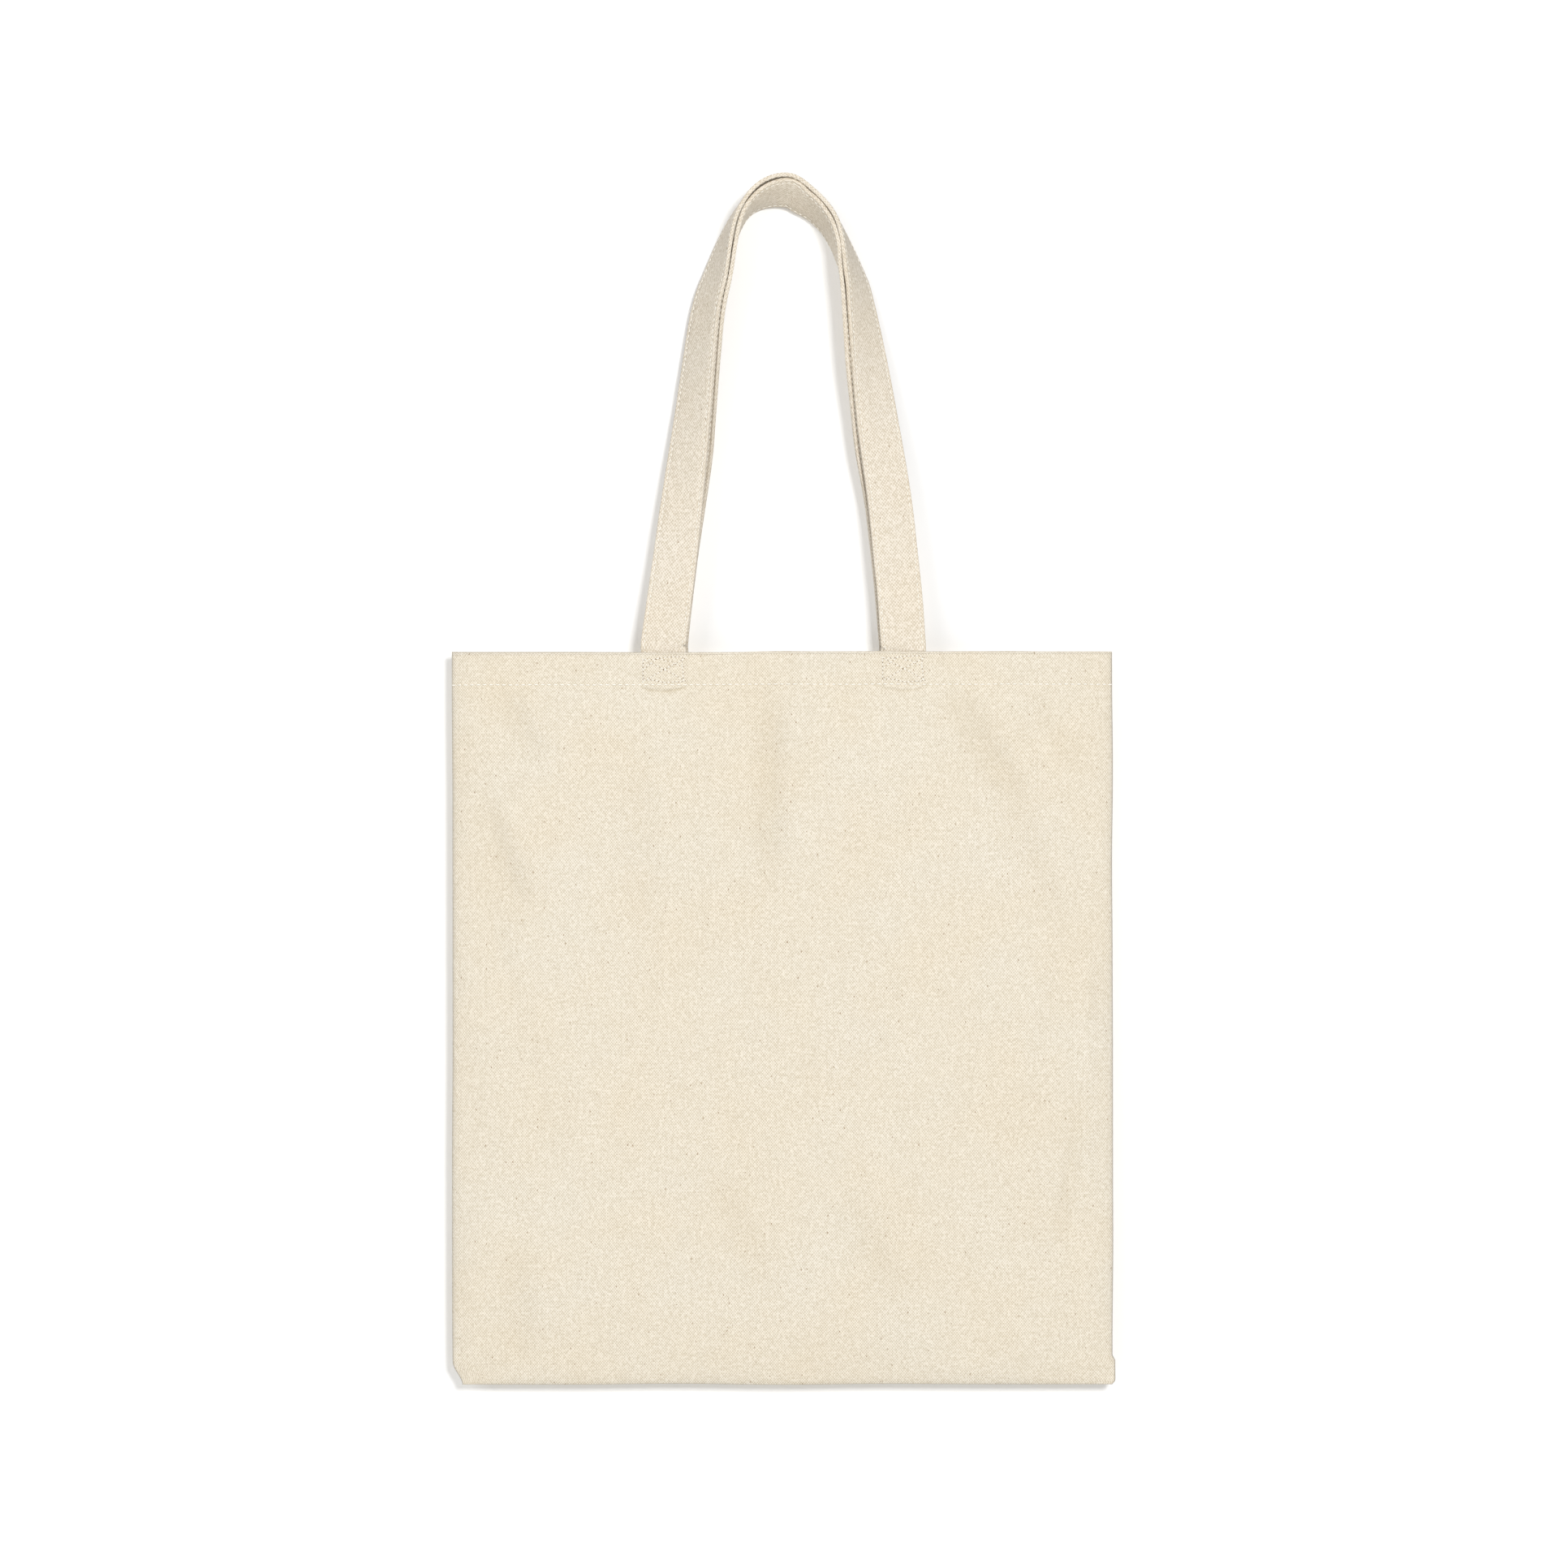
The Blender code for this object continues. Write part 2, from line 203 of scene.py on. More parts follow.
def add_piece(name: str, mesh: bpy.types.Mesh, material: bpy.types.Material) -> bpy.types.Object:
    """Put a mesh in the scene as a piece with one material.

    Args:
        name: Name of the piece.
        mesh: Its mesh.
        material: Its material.

    Returns:
        The piece.
    """
    piece = bpy.data.objects.new(name, mesh)
    mesh.materials.clear()
    mesh.materials.append(material)
    bpy.context.scene.collection.objects.link(piece)
    return piece


def closed_sheet(name: str, outer: Array, inner: Array, uv: Array,
                 crease_shade: Array | None = None) -> bpy.types.Mesh:
    """Close two matching grids into one sheet with a wall between them.

    Args:
        name: Name of the mesh.
        outer: Array of (rows, columns, 3), the face that shows.
        inner: The other face, with the same shape.
        uv: Array of (rows, columns, 2), places on the flat cloth.
        crease_shade: Array of (rows, columns), how much painted shade darkens the cloth, from 0 to
            1.

    Returns:
        A closed mesh whose faces point out.
    """
    rows, columns = outer.shape[:2]
    count = rows * columns
    index = np.arange(count).reshape(rows, columns)
    a, b = index[:-1, :-1].ravel(), index[:-1, 1:].ravel()
    c, d = index[1:, 1:].ravel(), index[1:, :-1].ravel()
    front = np.stack([a, b, c, d], -1)
    back = np.stack([a, d, c, b], -1) + count
    border = np.concatenate([index[0, :], index[1:, -1], index[-1, -2::-1], index[-2:0:-1, 0]])
    after = np.roll(border, -1)
    rim = np.stack([border, border + count, after + count, after], -1)
    verts = np.concatenate([outer.reshape(-1, 3), inner.reshape(-1, 3)])
    flat = np.concatenate([uv.reshape(-1, 2)] * 2)
    deep = None if crease_shade is None else np.concatenate([crease_shade.ravel()] * 2)
    mesh = make_mesh(name, verts, np.concatenate([front, back, rim]), flat, deep)
    if signed_volume(mesh) < 0:
        mesh.flip_normals()
    return mesh


def signed_volume(mesh: bpy.types.Mesh) -> float:
    """Volume inside a closed mesh, negative when its faces point in.

    Args:
        mesh: A closed mesh.

    Returns:
        The volume in cubic metres.
    """
    mesh.calc_loop_triangles()
    corners = np.empty(len(mesh.loop_triangles) * 3, dtype=np.int32)
    mesh.loop_triangles.foreach_get("vertices", corners)
    places = np.empty(len(mesh.vertices) * 3)
    mesh.vertices.foreach_get("co", places)
    a, b, c = places.reshape(-1, 3)[corners].reshape(-1, 3, 3).transpose(1, 0, 2)
    return float(np.einsum("ij,ij->i", a, np.cross(b, c)).sum() / 6)


# ---------- Shader groups and finishes ----------
class Nodes:
    """A node tree with short ways to add and join nodes."""

    def __init__(self, tree: bpy.types.NodeTree) -> None:
        """Work on one tree."""
        self.tree = tree

    def add(self, kind: str, inputs: dict | None = None, **settings: object) -> bpy.types.Node:
        """Add a node.

        Args:
            kind: The node's type name.
            inputs: Socket name or number to a value or to another node's socket.
            **settings: The node's own properties.

        Returns:
            The node.
        """
        node = self.tree.nodes.new(kind)
        for key, value in settings.items():
            setattr(node, key, value)
        for key, value in (inputs or {}).items():
            if isinstance(value, Socket):
                self.tree.links.new(value, node.inputs[key])
            else:
                node.inputs[key].default_value = value
        return node

    def math(self, operation: str, *values: Value) -> Socket:
        """Add a Math node and give back its output.

        Args:
            operation: Blender's name for what it does.
            *values: Numbers or sockets, in order.

        Returns:
            The output socket.
        """
        inputs = dict(enumerate(values))
        return self.add("ShaderNodeMath", inputs, operation=operation).outputs[0]

    def vector(self, operation: str, first: Value, second: Value) -> Socket:
        """Add a Vector Math node and give back its output.

        Args:
            operation: Blender's name for what it does.
            first: A vector or a socket.
            second: The same, or the factor of a SCALE.

        Returns:
            The output socket.
        """
        other = "Scale" if operation == "SCALE" else 1
        return self.add("ShaderNodeVectorMath", {0: first, other: second},
                        operation=operation).outputs[0]

    def noise(self, places: Socket, scale: Value, detail: float, **more: float) -> bpy.types.Node:
        """Add a Noise Texture node.

        Args:
            places: Where to read it.
            scale: Its scale.
            detail: Its detail.
            **more: Its other inputs.

        Returns:
            The node.
        """
        return self.add("ShaderNodeTexNoise",
                        {"Vector": places, "Scale": scale, "Detail": detail, **more})

    def link(self, socket: Socket, target: Socket) -> None:
        """Join an output socket to an input socket."""
        self.tree.links.new(socket, target)

    def mix(self, factor: Value, first: Value, second: Value, blend: str = "MIX") -> Socket:
        """Mix two colours and give back the result.

        Args:
            factor: How much of the second, a number or a socket.
            first: A colour or a socket.
            second: A colour or a socket.
            blend: Blender's name for the way they mix.

        Returns:
            The colour socket.
        """
        node = self.tree.nodes.new("ShaderNodeMix")
        node.data_type = "RGBA"
        node.blend_type = blend
        sockets = {"Factor_Float": factor, "A_Color": first, "B_Color": second}
        for socket in node.inputs:
            if socket.identifier in sockets:
                value = sockets[socket.identifier]
                if isinstance(value, Socket):
                    self.tree.links.new(value, socket)
                else:
                    socket.default_value = value
        return next(out for out in node.outputs if out.identifier == "Result_Color")


def new_group(name: str, kind: str, inputs: dict, outputs: dict) -> bpy.types.NodeTree:
    """Make a node group with named sockets.

    Args:
        name: Name of the group.
        kind: The tree type.
        inputs: Socket name to (socket type, value or None).
        outputs: Socket name to socket type.

    Returns:
        The empty tree with its sockets.
    """
    tree = bpy.data.node_groups.new(name, kind)
    for label, (socket_type, value) in inputs.items():
        socket = tree.interface.new_socket(label, in_out="INPUT", socket_type=socket_type)
        if value is not None:
            socket.default_value = value
    for label, socket_type in outputs.items():
        tree.interface.new_socket(label, in_out="OUTPUT", socket_type=socket_type)
    return tree


def new_material(name: str) -> tuple[bpy.types.Material, Nodes, bpy.types.Node]:
    """Make a material, and give back its node helper and its shader with it.

    Args:
        name: Name of the material.

    Returns:
        The material, its node helper and its Principled BSDF.
    """
    material = bpy.data.materials.new(name)
    material.use_nodes = True
    return material, Nodes(material.node_tree), material.node_tree.nodes["Principled BSDF"]


FLOAT, VECTOR, GEOMETRY = "NodeSocketFloat", "NodeSocketVector", "NodeSocketGeometry"
WARP_PITCH, WEFT_PITCH = 0.74 * MM, 0.87 * MM
YARN_GRAIN, STREAK = 900.0, 0.035   # noise scale of the yarn, and its stretch along a thread
FLECK_SCALE, FLECK_SHARE = 330.0, 0.50
LUMP_SCALE = 620.0


def plain_weave_group() -> bpy.types.NodeTree:
    """Over-and-under threads of uneven yarn, read from the cloth's own flat places.

    Returns:
        A group that puts out the weave's height, which thread is on top, thick yarn
        and seed flecks.
    """
    tree = new_group(
        "plain_weave", "ShaderNodeTree",
        {"Vector": (VECTOR, None), "Warp Pitch": (FLOAT, WARP_PITCH),
         "Weft Pitch": (FLOAT, WEFT_PITCH), "Wander": (FLOAT, 0.5),
         "Unevenness": (FLOAT, 0.5)},
        {"Height": FLOAT, "Over": FLOAT, "Slub": FLOAT, "Fleck": FLOAT},
    )
    nodes = Nodes(tree)
    given = nodes.add("NodeGroupInput").outputs
    result = nodes.add("NodeGroupOutput")
    drift = nodes.noise(given["Vector"], 70.0, 2.0)
    centred = nodes.vector("SUBTRACT", drift.outputs["Color"], (0.5, 0.5, 0.5))
    shift = nodes.math("MULTIPLY", given["Wander"], given["Warp Pitch"])
    moved = nodes.vector("ADD", given["Vector"], nodes.vector("SCALE", centred, shift))
    place = nodes.add("ShaderNodeSeparateXYZ", {0: moved})
    across = nodes.math("DIVIDE", place.outputs["X"], given["Warp Pitch"])
    along = nodes.math("DIVIDE", place.outputs["Y"], given["Weft Pitch"])
    warp, weft = (nodes.math("SINE", nodes.math("MULTIPLY", count, math.pi))
                  for count in (across, along))
    crossing = nodes.math("MULTIPLY", warp, weft)
    crown = nodes.math("POWER", nodes.math("ABSOLUTE", crossing), 0.6)
    streaks = []
    for scale, seed in (((1.0, STREAK, 0.0), 3.0), ((STREAK, 1.0, 0.0), 11.0)):
        yarn = nodes.add("ShaderNodeTexNoise",
                         {"Vector": nodes.vector("MULTIPLY", moved, scale), "W": seed,
                          "Scale": YARN_GRAIN, "Detail": 3.0, "Roughness": 0.6},
                         noise_dimensions="4D")
        streaks.append(yarn.outputs[0])
    slub = nodes.math("SUBTRACT", nodes.math("ADD", *streaks), 1.0)
    seeds = nodes.vector("MULTIPLY", moved, (1.0, 0.6, 0.0))
    cells = nodes.add("ShaderNodeTexVoronoi", {"Vector": seeds, "Scale": FLECK_SCALE})
    chance = nodes.add("ShaderNodeSeparateColor", {0: cells.outputs["Color"]})
    rare = nodes.math("GREATER_THAN", chance.outputs[0], FLECK_SHARE)
    reach = nodes.math("MULTIPLY_ADD", chance.outputs[1], 0.075, 0.055)
    near = nodes.math("LESS_THAN", cells.outputs["Distance"], reach)
    cell = nodes.add("ShaderNodeCombineXYZ", {"X": nodes.math("FLOOR", across),
                                              "Y": nodes.math("FLOOR", along)})
    lot = nodes.add("ShaderNodeTexWhiteNoise", {"Vector": cell.outputs[0]})
    dealt = nodes.math("MULTIPLY_ADD", lot.outputs["Value"], 2.0, -1.0)
    lumps = nodes.noise(moved, LUMP_SCALE, 1.0)
    mixed = nodes.math("ADD", dealt, nodes.math("MULTIPLY_ADD", lumps.outputs[0], 4.0, -2.0))
    uneven = nodes.math("MULTIPLY", mixed, given["Unevenness"])
    sockets = {"Height": nodes.math("ADD", crown, nodes.math("MULTIPLY", slub, 0.8)),
               "Over": nodes.math("ADD", crossing, uneven), "Slub": slub,
               "Fleck": nodes.math("MULTIPLY", rare, near)}
    for label, socket in sockets.items():
        nodes.link(socket, result.inputs[label])
    return tree


def handling_group() -> bpy.types.NodeTree:
    """Soft uneven tone of unbleached cloth that has been handled and folded.

    Returns:
        A group that puts out a broad warm tone and a finer cloudy one, both about 0.5.
    """
    tree = new_group("handling", "ShaderNodeTree",
                     {"Vector": (VECTOR, None), "Size": (FLOAT, 0.05)},
                     {"Warmth": FLOAT, "Cloud": FLOAT})
    nodes = Nodes(tree)
    given = nodes.add("NodeGroupInput").outputs
    result = nodes.add("NodeGroupOutput")
    scale = nodes.math("DIVIDE", 1.0, given["Size"])
    finer = nodes.math("MULTIPLY", scale, 5.0)
    broad = nodes.noise(given["Vector"], scale, 2.0, Roughness=0.5)
    cloud = nodes.noise(given["Vector"], finer, 4.0, Roughness=0.6)
    nodes.link(broad.outputs[0], result.inputs["Warmth"])
    nodes.link(cloud.outputs[0], result.inputs["Cloud"])
    return tree


def tinted(colour: tuple, *shares: float) -> tuple:
    """A colour with each channel multiplied by its share and kept below 1, and alpha 1.

    Args:
        colour: A colour, linear.
        *shares: One share for each channel.

    Returns:
        The colour, with four channels.
    """
    return tuple(min(part * share, 1.0) for part, share in zip(colour, shares)) + (1.0,)


@dataclass(frozen=True)
class CanvasFinish:
    """Undyed plain-weave cotton.

    Attributes:
        name: Name of the material.
        colour: Colour of the yarn, linear.
        roughness: Roughness of the cloth.
        turned: True where the warp runs along the other way.
        coarseness: Thread spacing as a share of the panels' own.
        unevenness: How much one crossing differs from the next.
        relief: How deep the weave looks, in metres.
        warm: Tint of the broad handled patches.
        cloud_and_shade_tint: Tint of the clouds, and of the painted shade in the creases.
        fleck: Colour of the seed flecks.
    """

    name: str
    colour: tuple[float, float, float]
    roughness: float = 0.92
    turned: bool = False
    coarseness: float = 1.0
    unevenness: float = 0.5
    relief: float = 0.20 * MM
    warm: tuple = (1.0, 0.968, 0.92, 1.0)
    cloud_and_shade_tint: tuple = (0.80, 0.76, 0.68, 1.0)
    fleck: tuple = (0.28, 0.16, 0.07, 1.0)

    def material(self, weave: bpy.types.NodeTree, wear: bpy.types.NodeTree) -> bpy.types.Material:
        """Build the finish as a material.

        Args:
            weave: The plain weave group.
            wear: The handling group.

        Returns:
            The material.
        """
        material, nodes, shader = new_material(self.name)
        places = nodes.add("ShaderNodeUVMap", uv_map="cloth").outputs[0]
        pitches = (WEFT_PITCH, WARP_PITCH) if self.turned else (WARP_PITCH, WEFT_PITCH)
        cloth = nodes.add("ShaderNodeGroup", node_tree=weave)
        for label, value in (("Warp Pitch", pitches[0] * self.coarseness),
                             ("Weft Pitch", pitches[1] * self.coarseness),
                             ("Unevenness", self.unevenness)):
            cloth.inputs[label].default_value = value
        tone = nodes.add("ShaderNodeGroup", node_tree=wear)
        for group in (cloth, tone):
            nodes.link(places, group.inputs["Vector"])
        shade = tinted(self.colour, 0.80, 0.76, 0.68)
        height = cloth.outputs["Height"]
        gaps = nodes.math("MULTIPLY", nodes.math("SUBTRACT", 0.95, height), 0.35)
        under = nodes.math("MULTIPLY_ADD", cloth.outputs["Over"], -0.95, 0.42)
        thin = nodes.math("MULTIPLY", cloth.outputs["Slub"], -0.75)
        base = tinted(self.colour, 1.10, 1.10, 1.10)
        for factor in (gaps, under, thin):
            base = nodes.mix(factor, base, shade)
        broad = nodes.math("MULTIPLY_ADD", tone.outputs["Warmth"], 2.0, -0.65)
        cloudy = nodes.math("MULTIPLY_ADD", tone.outputs["Cloud"], 1.2, -0.55)
        # Painted shade: the crease_shade attribute darkens the colour in fold valleys and creases.
        crease_shade_factor = nodes.add("ShaderNodeAttribute", attribute_name="crease_shade").outputs["Fac"]
        for factor, share, tint in ((broad, 0.90, self.warm), (cloudy, 0.20, self.cloud_and_shade_tint),
                                    (crease_shade_factor, 0.70, self.cloud_and_shade_tint)):
            base = nodes.mix(nodes.math("MULTIPLY", factor, share), base, tint, "MULTIPLY")
        flecked = nodes.math("MULTIPLY", cloth.outputs["Fleck"], 0.60)
        nodes.link(nodes.mix(flecked, base, self.fleck), shader.inputs["Base Color"])
        bump = nodes.add("ShaderNodeBump", {"Height": height, "Distance": self.relief,
                                            "Strength": 0.6})
        nodes.link(bump.outputs[0], shader.inputs["Normal"])
        for label, value in (("Roughness", self.roughness), ("Specular IOR Level", 0.25),
                             ("Sheen Weight", 0.12), ("Sheen Roughness", 0.5)):
            shader.inputs[label].default_value = value
        return material


@dataclass(frozen=True)
class ThreadFinish:
    """Twisted sewing thread, or dark grains of painted shade in the holes that a needle leaves.

    Attributes:
        name: Name of the material.
        colour: Colour, linear.
        roughness: Roughness.
        twist: Scale of the bands of the ply.
    """

    name: str
    colour: tuple[float, float, float]
    roughness: float = 0.75
    twist: float = 2600.0 / 6

    def material(self) -> bpy.types.Material:
        """Build the finish as a material.

        Returns:
            The material.
        """
        material, nodes, shader = new_material(self.name)
        places = nodes.add("ShaderNodeTexCoord").outputs["Object"]
        ply = nodes.add("ShaderNodeTexWave", {"Vector": places, "Scale": self.twist,
                                              "Distortion": 1.5}, bands_direction="DIAGONAL")
        dark = tinted(self.colour, 0.86, 0.86, 0.86)
        tint = nodes.mix(ply.outputs["Fac"], dark, (*self.colour, 1.0))
        nodes.link(tint, shader.inputs["Base Color"])
        bump = nodes.add("ShaderNodeBump", {"Height": ply.outputs["Fac"],
                                            "Distance": 0.05 * MM, "Strength": 0.5})
        nodes.link(bump.outputs[0], shader.inputs["Normal"])
        shader.inputs["Roughness"].default_value = self.roughness
        shader.inputs["Specular IOR Level"].default_value = 0.3
        return material


class Wardrobe:
    """Every material of the bag, built once."""

    def __init__(self) -> None:
        """Build the shared groups and all the finishes."""
        groups = plain_weave_group(), handling_group()
        self.panel = CanvasFinish("canvas", (0.801, 0.749, 0.654)).material(*groups)
        self.hem = CanvasFinish("hem_canvas", (0.795, 0.749, 0.665),
                                turned=True).material(*groups)
        self.raw_edge = CanvasFinish("raw_edge_canvas", (0.76, 0.69, 0.57),
                                     0.95).material(*groups)
        self.strap = CanvasFinish("strap_canvas", (0.798, 0.741, 0.655), 0.90,
                                  coarseness=1.15, unevenness=0.62).material(*groups)
        self.thread = ThreadFinish("cotton_thread", (0.99, 0.95, 0.86)).material()
        # Dark grains that paint the shade in the needle holes.
        self.pit = ThreadFinish("needle_hole_shade", (0.19, 0.095, 0.035), 0.95).material()


# ---------- Stitches ----------
# Pitch, length of a stitch and radius of the thread.
HEM_SEWING = (3.7 * MM, 2.9 * MM, 0.44 * MM)
SEAM_SEWING = (3.0 * MM, 2.5 * MM, 0.28 * MM)
STRAP_SEWING = (3.3 * MM, 2.6 * MM, 0.34 * MM)
BOX_SEWING = (2.3 * MM, 1.6 * MM, 0.36 * MM)


class StitchTree:
    """The Geometry Nodes tree that lays stitches along a path."""

    def __init__(self) -> None:
        """Build the tree."""
        self.tree = new_group(
            "stitch_row", "GeometryNodeTree",
            {"Path": (GEOMETRY, None), "Pitch": (FLOAT, 0.0037), "Length": (FLOAT, 0.0029),
             "Radius": (FLOAT, 0.00028), "Pit Radius": (FLOAT, 0.00023),
             "Pits": ("NodeSocketBool", False), "Seed": ("NodeSocketInt", 1),
             "Thread": ("NodeSocketMaterial", None), "Pit": ("NodeSocketMaterial", None)},
            {"Stitches": GEOMETRY},
        )
        nodes = Nodes(self.tree)
        given = nodes.add("NodeGroupInput").outputs
        result = nodes.add("NodeGroupOutput")
        curve = nodes.add("GeometryNodeMeshToCurve", {"Mesh": given["Path"]})
        spaced = nodes.add("GeometryNodeResampleCurve",
                           {"Curve": curve.outputs[0], "Length": given["Pitch"]}, mode="LENGTH")
        tangent = nodes.add("GeometryNodeInputTangent").outputs[0]
        outwards = nodes.add("GeometryNodeInputNamedAttribute", {"Name": "outwards"},
                             data_type="FLOAT_VECTOR").outputs["Attribute"]
        along = nodes.add("FunctionNodeAlignRotationToVector", {"Vector": tangent}, axis="X")
        lying = nodes.add("FunctionNodeAlignRotationToVector",
                          {"Rotation": along.outputs[0], "Vector": outwards},
                          axis="Z", pivot_axis="X")
        stitch = self._instances(nodes, spaced.outputs[0], lying.outputs[0], given["Seed"],
                                 given["Length"], given["Radius"], 0.90, given["Thread"])
        # Dark grains between the stitches: painted shade in the needle holes.
        half = nodes.math("MULTIPLY", given["Pitch"], 0.5)
        ahead = nodes.vector("SCALE", tangent, half)
        shifted = nodes.add("GeometryNodeSetPosition",
                            {"Geometry": spaced.outputs[0], "Offset": ahead})
        width = nodes.math("MULTIPLY", given["Pit Radius"], 2.4)
        pits = self._instances(nodes, shifted.outputs[0], lying.outputs[0], given["Seed"],
                               width, given["Pit Radius"], 0.45, given["Pit"])
        chosen = nodes.add("GeometryNodeSwitch", {"Switch": given["Pits"], "True": pits},
                           input_type="GEOMETRY")
        joined = nodes.add("GeometryNodeJoinGeometry")
        for socket, target in ((chosen.outputs[0], joined), (stitch, joined),
                               (joined.outputs[0], result)):
            nodes.link(socket, target.inputs[0])

    def _instances(self, nodes: Nodes, points: Socket, rotation: Socket, seed: Socket,
                   length: Socket, radius: Socket, flatness: float, material: Socket) -> Socket:
        """Lay one rounded grain at each point.

        Args:
            nodes: The tree's helper.
            points: The points.
            rotation: Which way each grain lies.
            seed: Picks the grains' unevenness.
            length: Whole length of a grain.
            radius: Its radius.
            flatness: Its height as a share of its width.
            material: Its material.

        Returns:
            Socket of the finished mesh.
        """
        grain = nodes.add("GeometryNodeMeshUVSphere", {"Segments": 6, "Rings": 4, "Radius": 1.0})
        vary = nodes.add("FunctionNodeRandomValue", {"Seed": seed}, data_type="FLOAT")
        limits = {"Min_001": 0.86, "Max_001": 1.08}
        for socket in vary.inputs:
            if socket.identifier in limits:
                socket.default_value = limits[socket.identifier]
        factor = next(out for out in vary.outputs if out.identifier == "Value_001")
        half_length = nodes.math("MULTIPLY", nodes.math("MULTIPLY", length, 0.5), factor)
        size = nodes.add("ShaderNodeCombineXYZ",
                         {"X": half_length, "Y": radius,
                          "Z": nodes.math("MULTIPLY", radius, flatness)})
        laid = nodes.add("GeometryNodeInstanceOnPoints",
                         {"Points": points, "Instance": grain.outputs["Mesh"],
                          "Rotation": rotation, "Scale": size.outputs[0]})
        real = nodes.add("GeometryNodeRealizeInstances", {0: laid.outputs[0]})
        smooth_faces = nodes.add("GeometryNodeSetShadeSmooth", {0: real.outputs[0]})
        dressed = nodes.add("GeometryNodeSetMaterial",
                            {0: smooth_faces.outputs[0], "Material": material})
        return dressed.outputs[0]

    def lay(self, name: str, rows: list[tuple[Array, Array]], wardrobe: Wardrobe,
            sewing: tuple[float, float, float], pits: bool = False,
            seed: int = 1) -> bpy.types.Object:
        """Lay stitches along rows and make them one plain mesh.

        Args:
            name: Name of the piece.
            rows: For each row, its points and the outward direction at each point.
            wardrobe: The bag's materials.
            sewing: Pitch, length of a stitch and radius of the thread.
            pits: True to lay dark grains between the stitches, painted shade in the needle holes.
            seed: Picks the unevenness.

        Returns:
            The piece.
        """
        mesh = bpy.data.meshes.new(name + "_path")
        points = np.concatenate([row for row, _ in rows])
        outwards = np.concatenate([out for _, out in rows])
        edges, start = [], 0
        for row, _ in rows:
            edges += [(start + i, start + i + 1) for i in range(len(row) - 1)]
            start += len(row)
        mesh.from_pydata(points.tolist(), edges, [])
        layer = mesh.attributes.new("outwards", "FLOAT_VECTOR", "POINT")
        layer.data.foreach_set("vector", outwards.astype(np.float32).ravel())
        guide = bpy.data.objects.new(name + "_path", mesh)
        bpy.context.scene.collection.objects.link(guide)
        modifier = guide.modifiers.new("stitches", "NODES")
        modifier.node_group = self.tree
        values = dict(zip(("Pitch", "Length", "Radius"), sewing))
        values |= {"Pits": pits, "Seed": seed, "Thread": wardrobe.thread, "Pit": wardrobe.pit}
        for item in self.tree.interface.items_tree:
            if item.item_type == "SOCKET" and item.in_out == "INPUT" and item.name in values:
                modifier[item.identifier] = values[item.name]
        bpy.context.view_layer.update()
        depsgraph = bpy.context.evaluated_depsgraph_get()
        result = bpy.data.meshes.new_from_object(guide.evaluated_get(depsgraph))
        result.name = name
        bpy.data.objects.remove(guide)
        piece = bpy.data.objects.new(name, result)
        bpy.context.scene.collection.objects.link(piece)
        return piece


# ---------- The bag's form ----------
@dataclass(frozen=True)
class Fold:
    """A soft crease in a panel, from one place to another.

    Attributes:
        start: (x, z) in millimetres from the middle of the mouth edge.
        end: The other end.
        width: Half-width of the crease in millimetres.
        height: How far it stands out, in millimetres; below 0 it goes in.
    """

    start: tuple[float, float]
    end: tuple[float, float]
    width: float
    height: float

    def offset(self, places: Array) -> Array:
        """How far the fold moves the cloth.

        Args:
            places: Array of (..., 2) in millimetres from the middle of the mouth edge.

        Returns:
            Offsets in millimetres.
        """
        start, end = np.array(self.start, float), np.array(self.end, float)
        line = end - start
        length = float(np.linalg.norm(line))
        along = (places - start) @ line / length**2
        away = (places - start) @ np.array([-line[1], line[0]]) / length
        ends = smooth((along + 0.25) / 0.5) * smooth((1.25 - along) / 0.5)
        profile = np.exp(-(away / self.width) ** 2)
        return self.height * ends * profile


FOLD_DEPTH = 3.2        # the folds' heights are shares of this many millimetres
FRONT_FOLDS = (
    Fold((-171, -88), (-150, -146), 8, -0.60),
    Fold((-160, -92), (-141, -136), 10, 0.50),
    Fold((-163, -24), (-140, -60), 7, -0.55),
    Fold((-152, -18), (-122, -62), 9, 0.40),
    Fold((-8, -26), (-9, -128), 8, -0.75),
    Fold((6, -30), (9, -118), 10, 0.55),
    Fold((-84, -66), (-80, -158), 9, -0.30),
    Fold((99, -28), (132, -84), 9, -0.75),
    Fold((132, -84), (160, -150), 8, -0.40),
    Fold((113, -24), (148, -78), 9, 0.65),
    Fold((146, -28), (168, -62), 6, -0.45),
    Fold((-128, -176), (-104, -206), 6, 0.35),
    Fold((-152, -345), (-150, -412), 9, -0.45),
    Fold((-34, -305), (-10, -366), 8, -0.40),
    Fold((40, -318), (64, -370), 9, -0.45),
    Fold((170, -262), (160, -336), 5, -0.50),
    Fold((176, -160), (175, -300), 4, 0.30),
    Fold((-176, -230), (-150, -300), 10, 0.30),
    Fold((90, -200), (150, -190), 14, 0.30),
)
BACK_FOLDS = (
    Fold((-120, -30), (-88, -120), 9, -0.60),
    Fold((12, -28), (4, -150), 9, -0.50),
    Fold((150, -40), (128, -130), 8, 0.50),
    Fold((60, -250), (110, -330), 12, -0.45),
    Fold((-90, -300), (-60, -380), 10, 0.40),
    Fold((-30, -190), (60, -215), 12, 0.35),
)


FOLDS = {Side.FRONT: FRONT_FOLDS, Side.BACK: BACK_FOLDS}
SIDE_REACH = 26 * MM                    # how far in from a side edge its wander is felt
SIDE_WANDER, BOTTOM_WANDER = 0.45, 0.4  # how far the outline strays, in mm, as below
LEFT_CORNER, RIGHT_CORNER = 5.5, 0.8    # how far a bottom corner is cut back
RIGHT_SWELL = 1.6                       # how far the seam's end stands out at the right


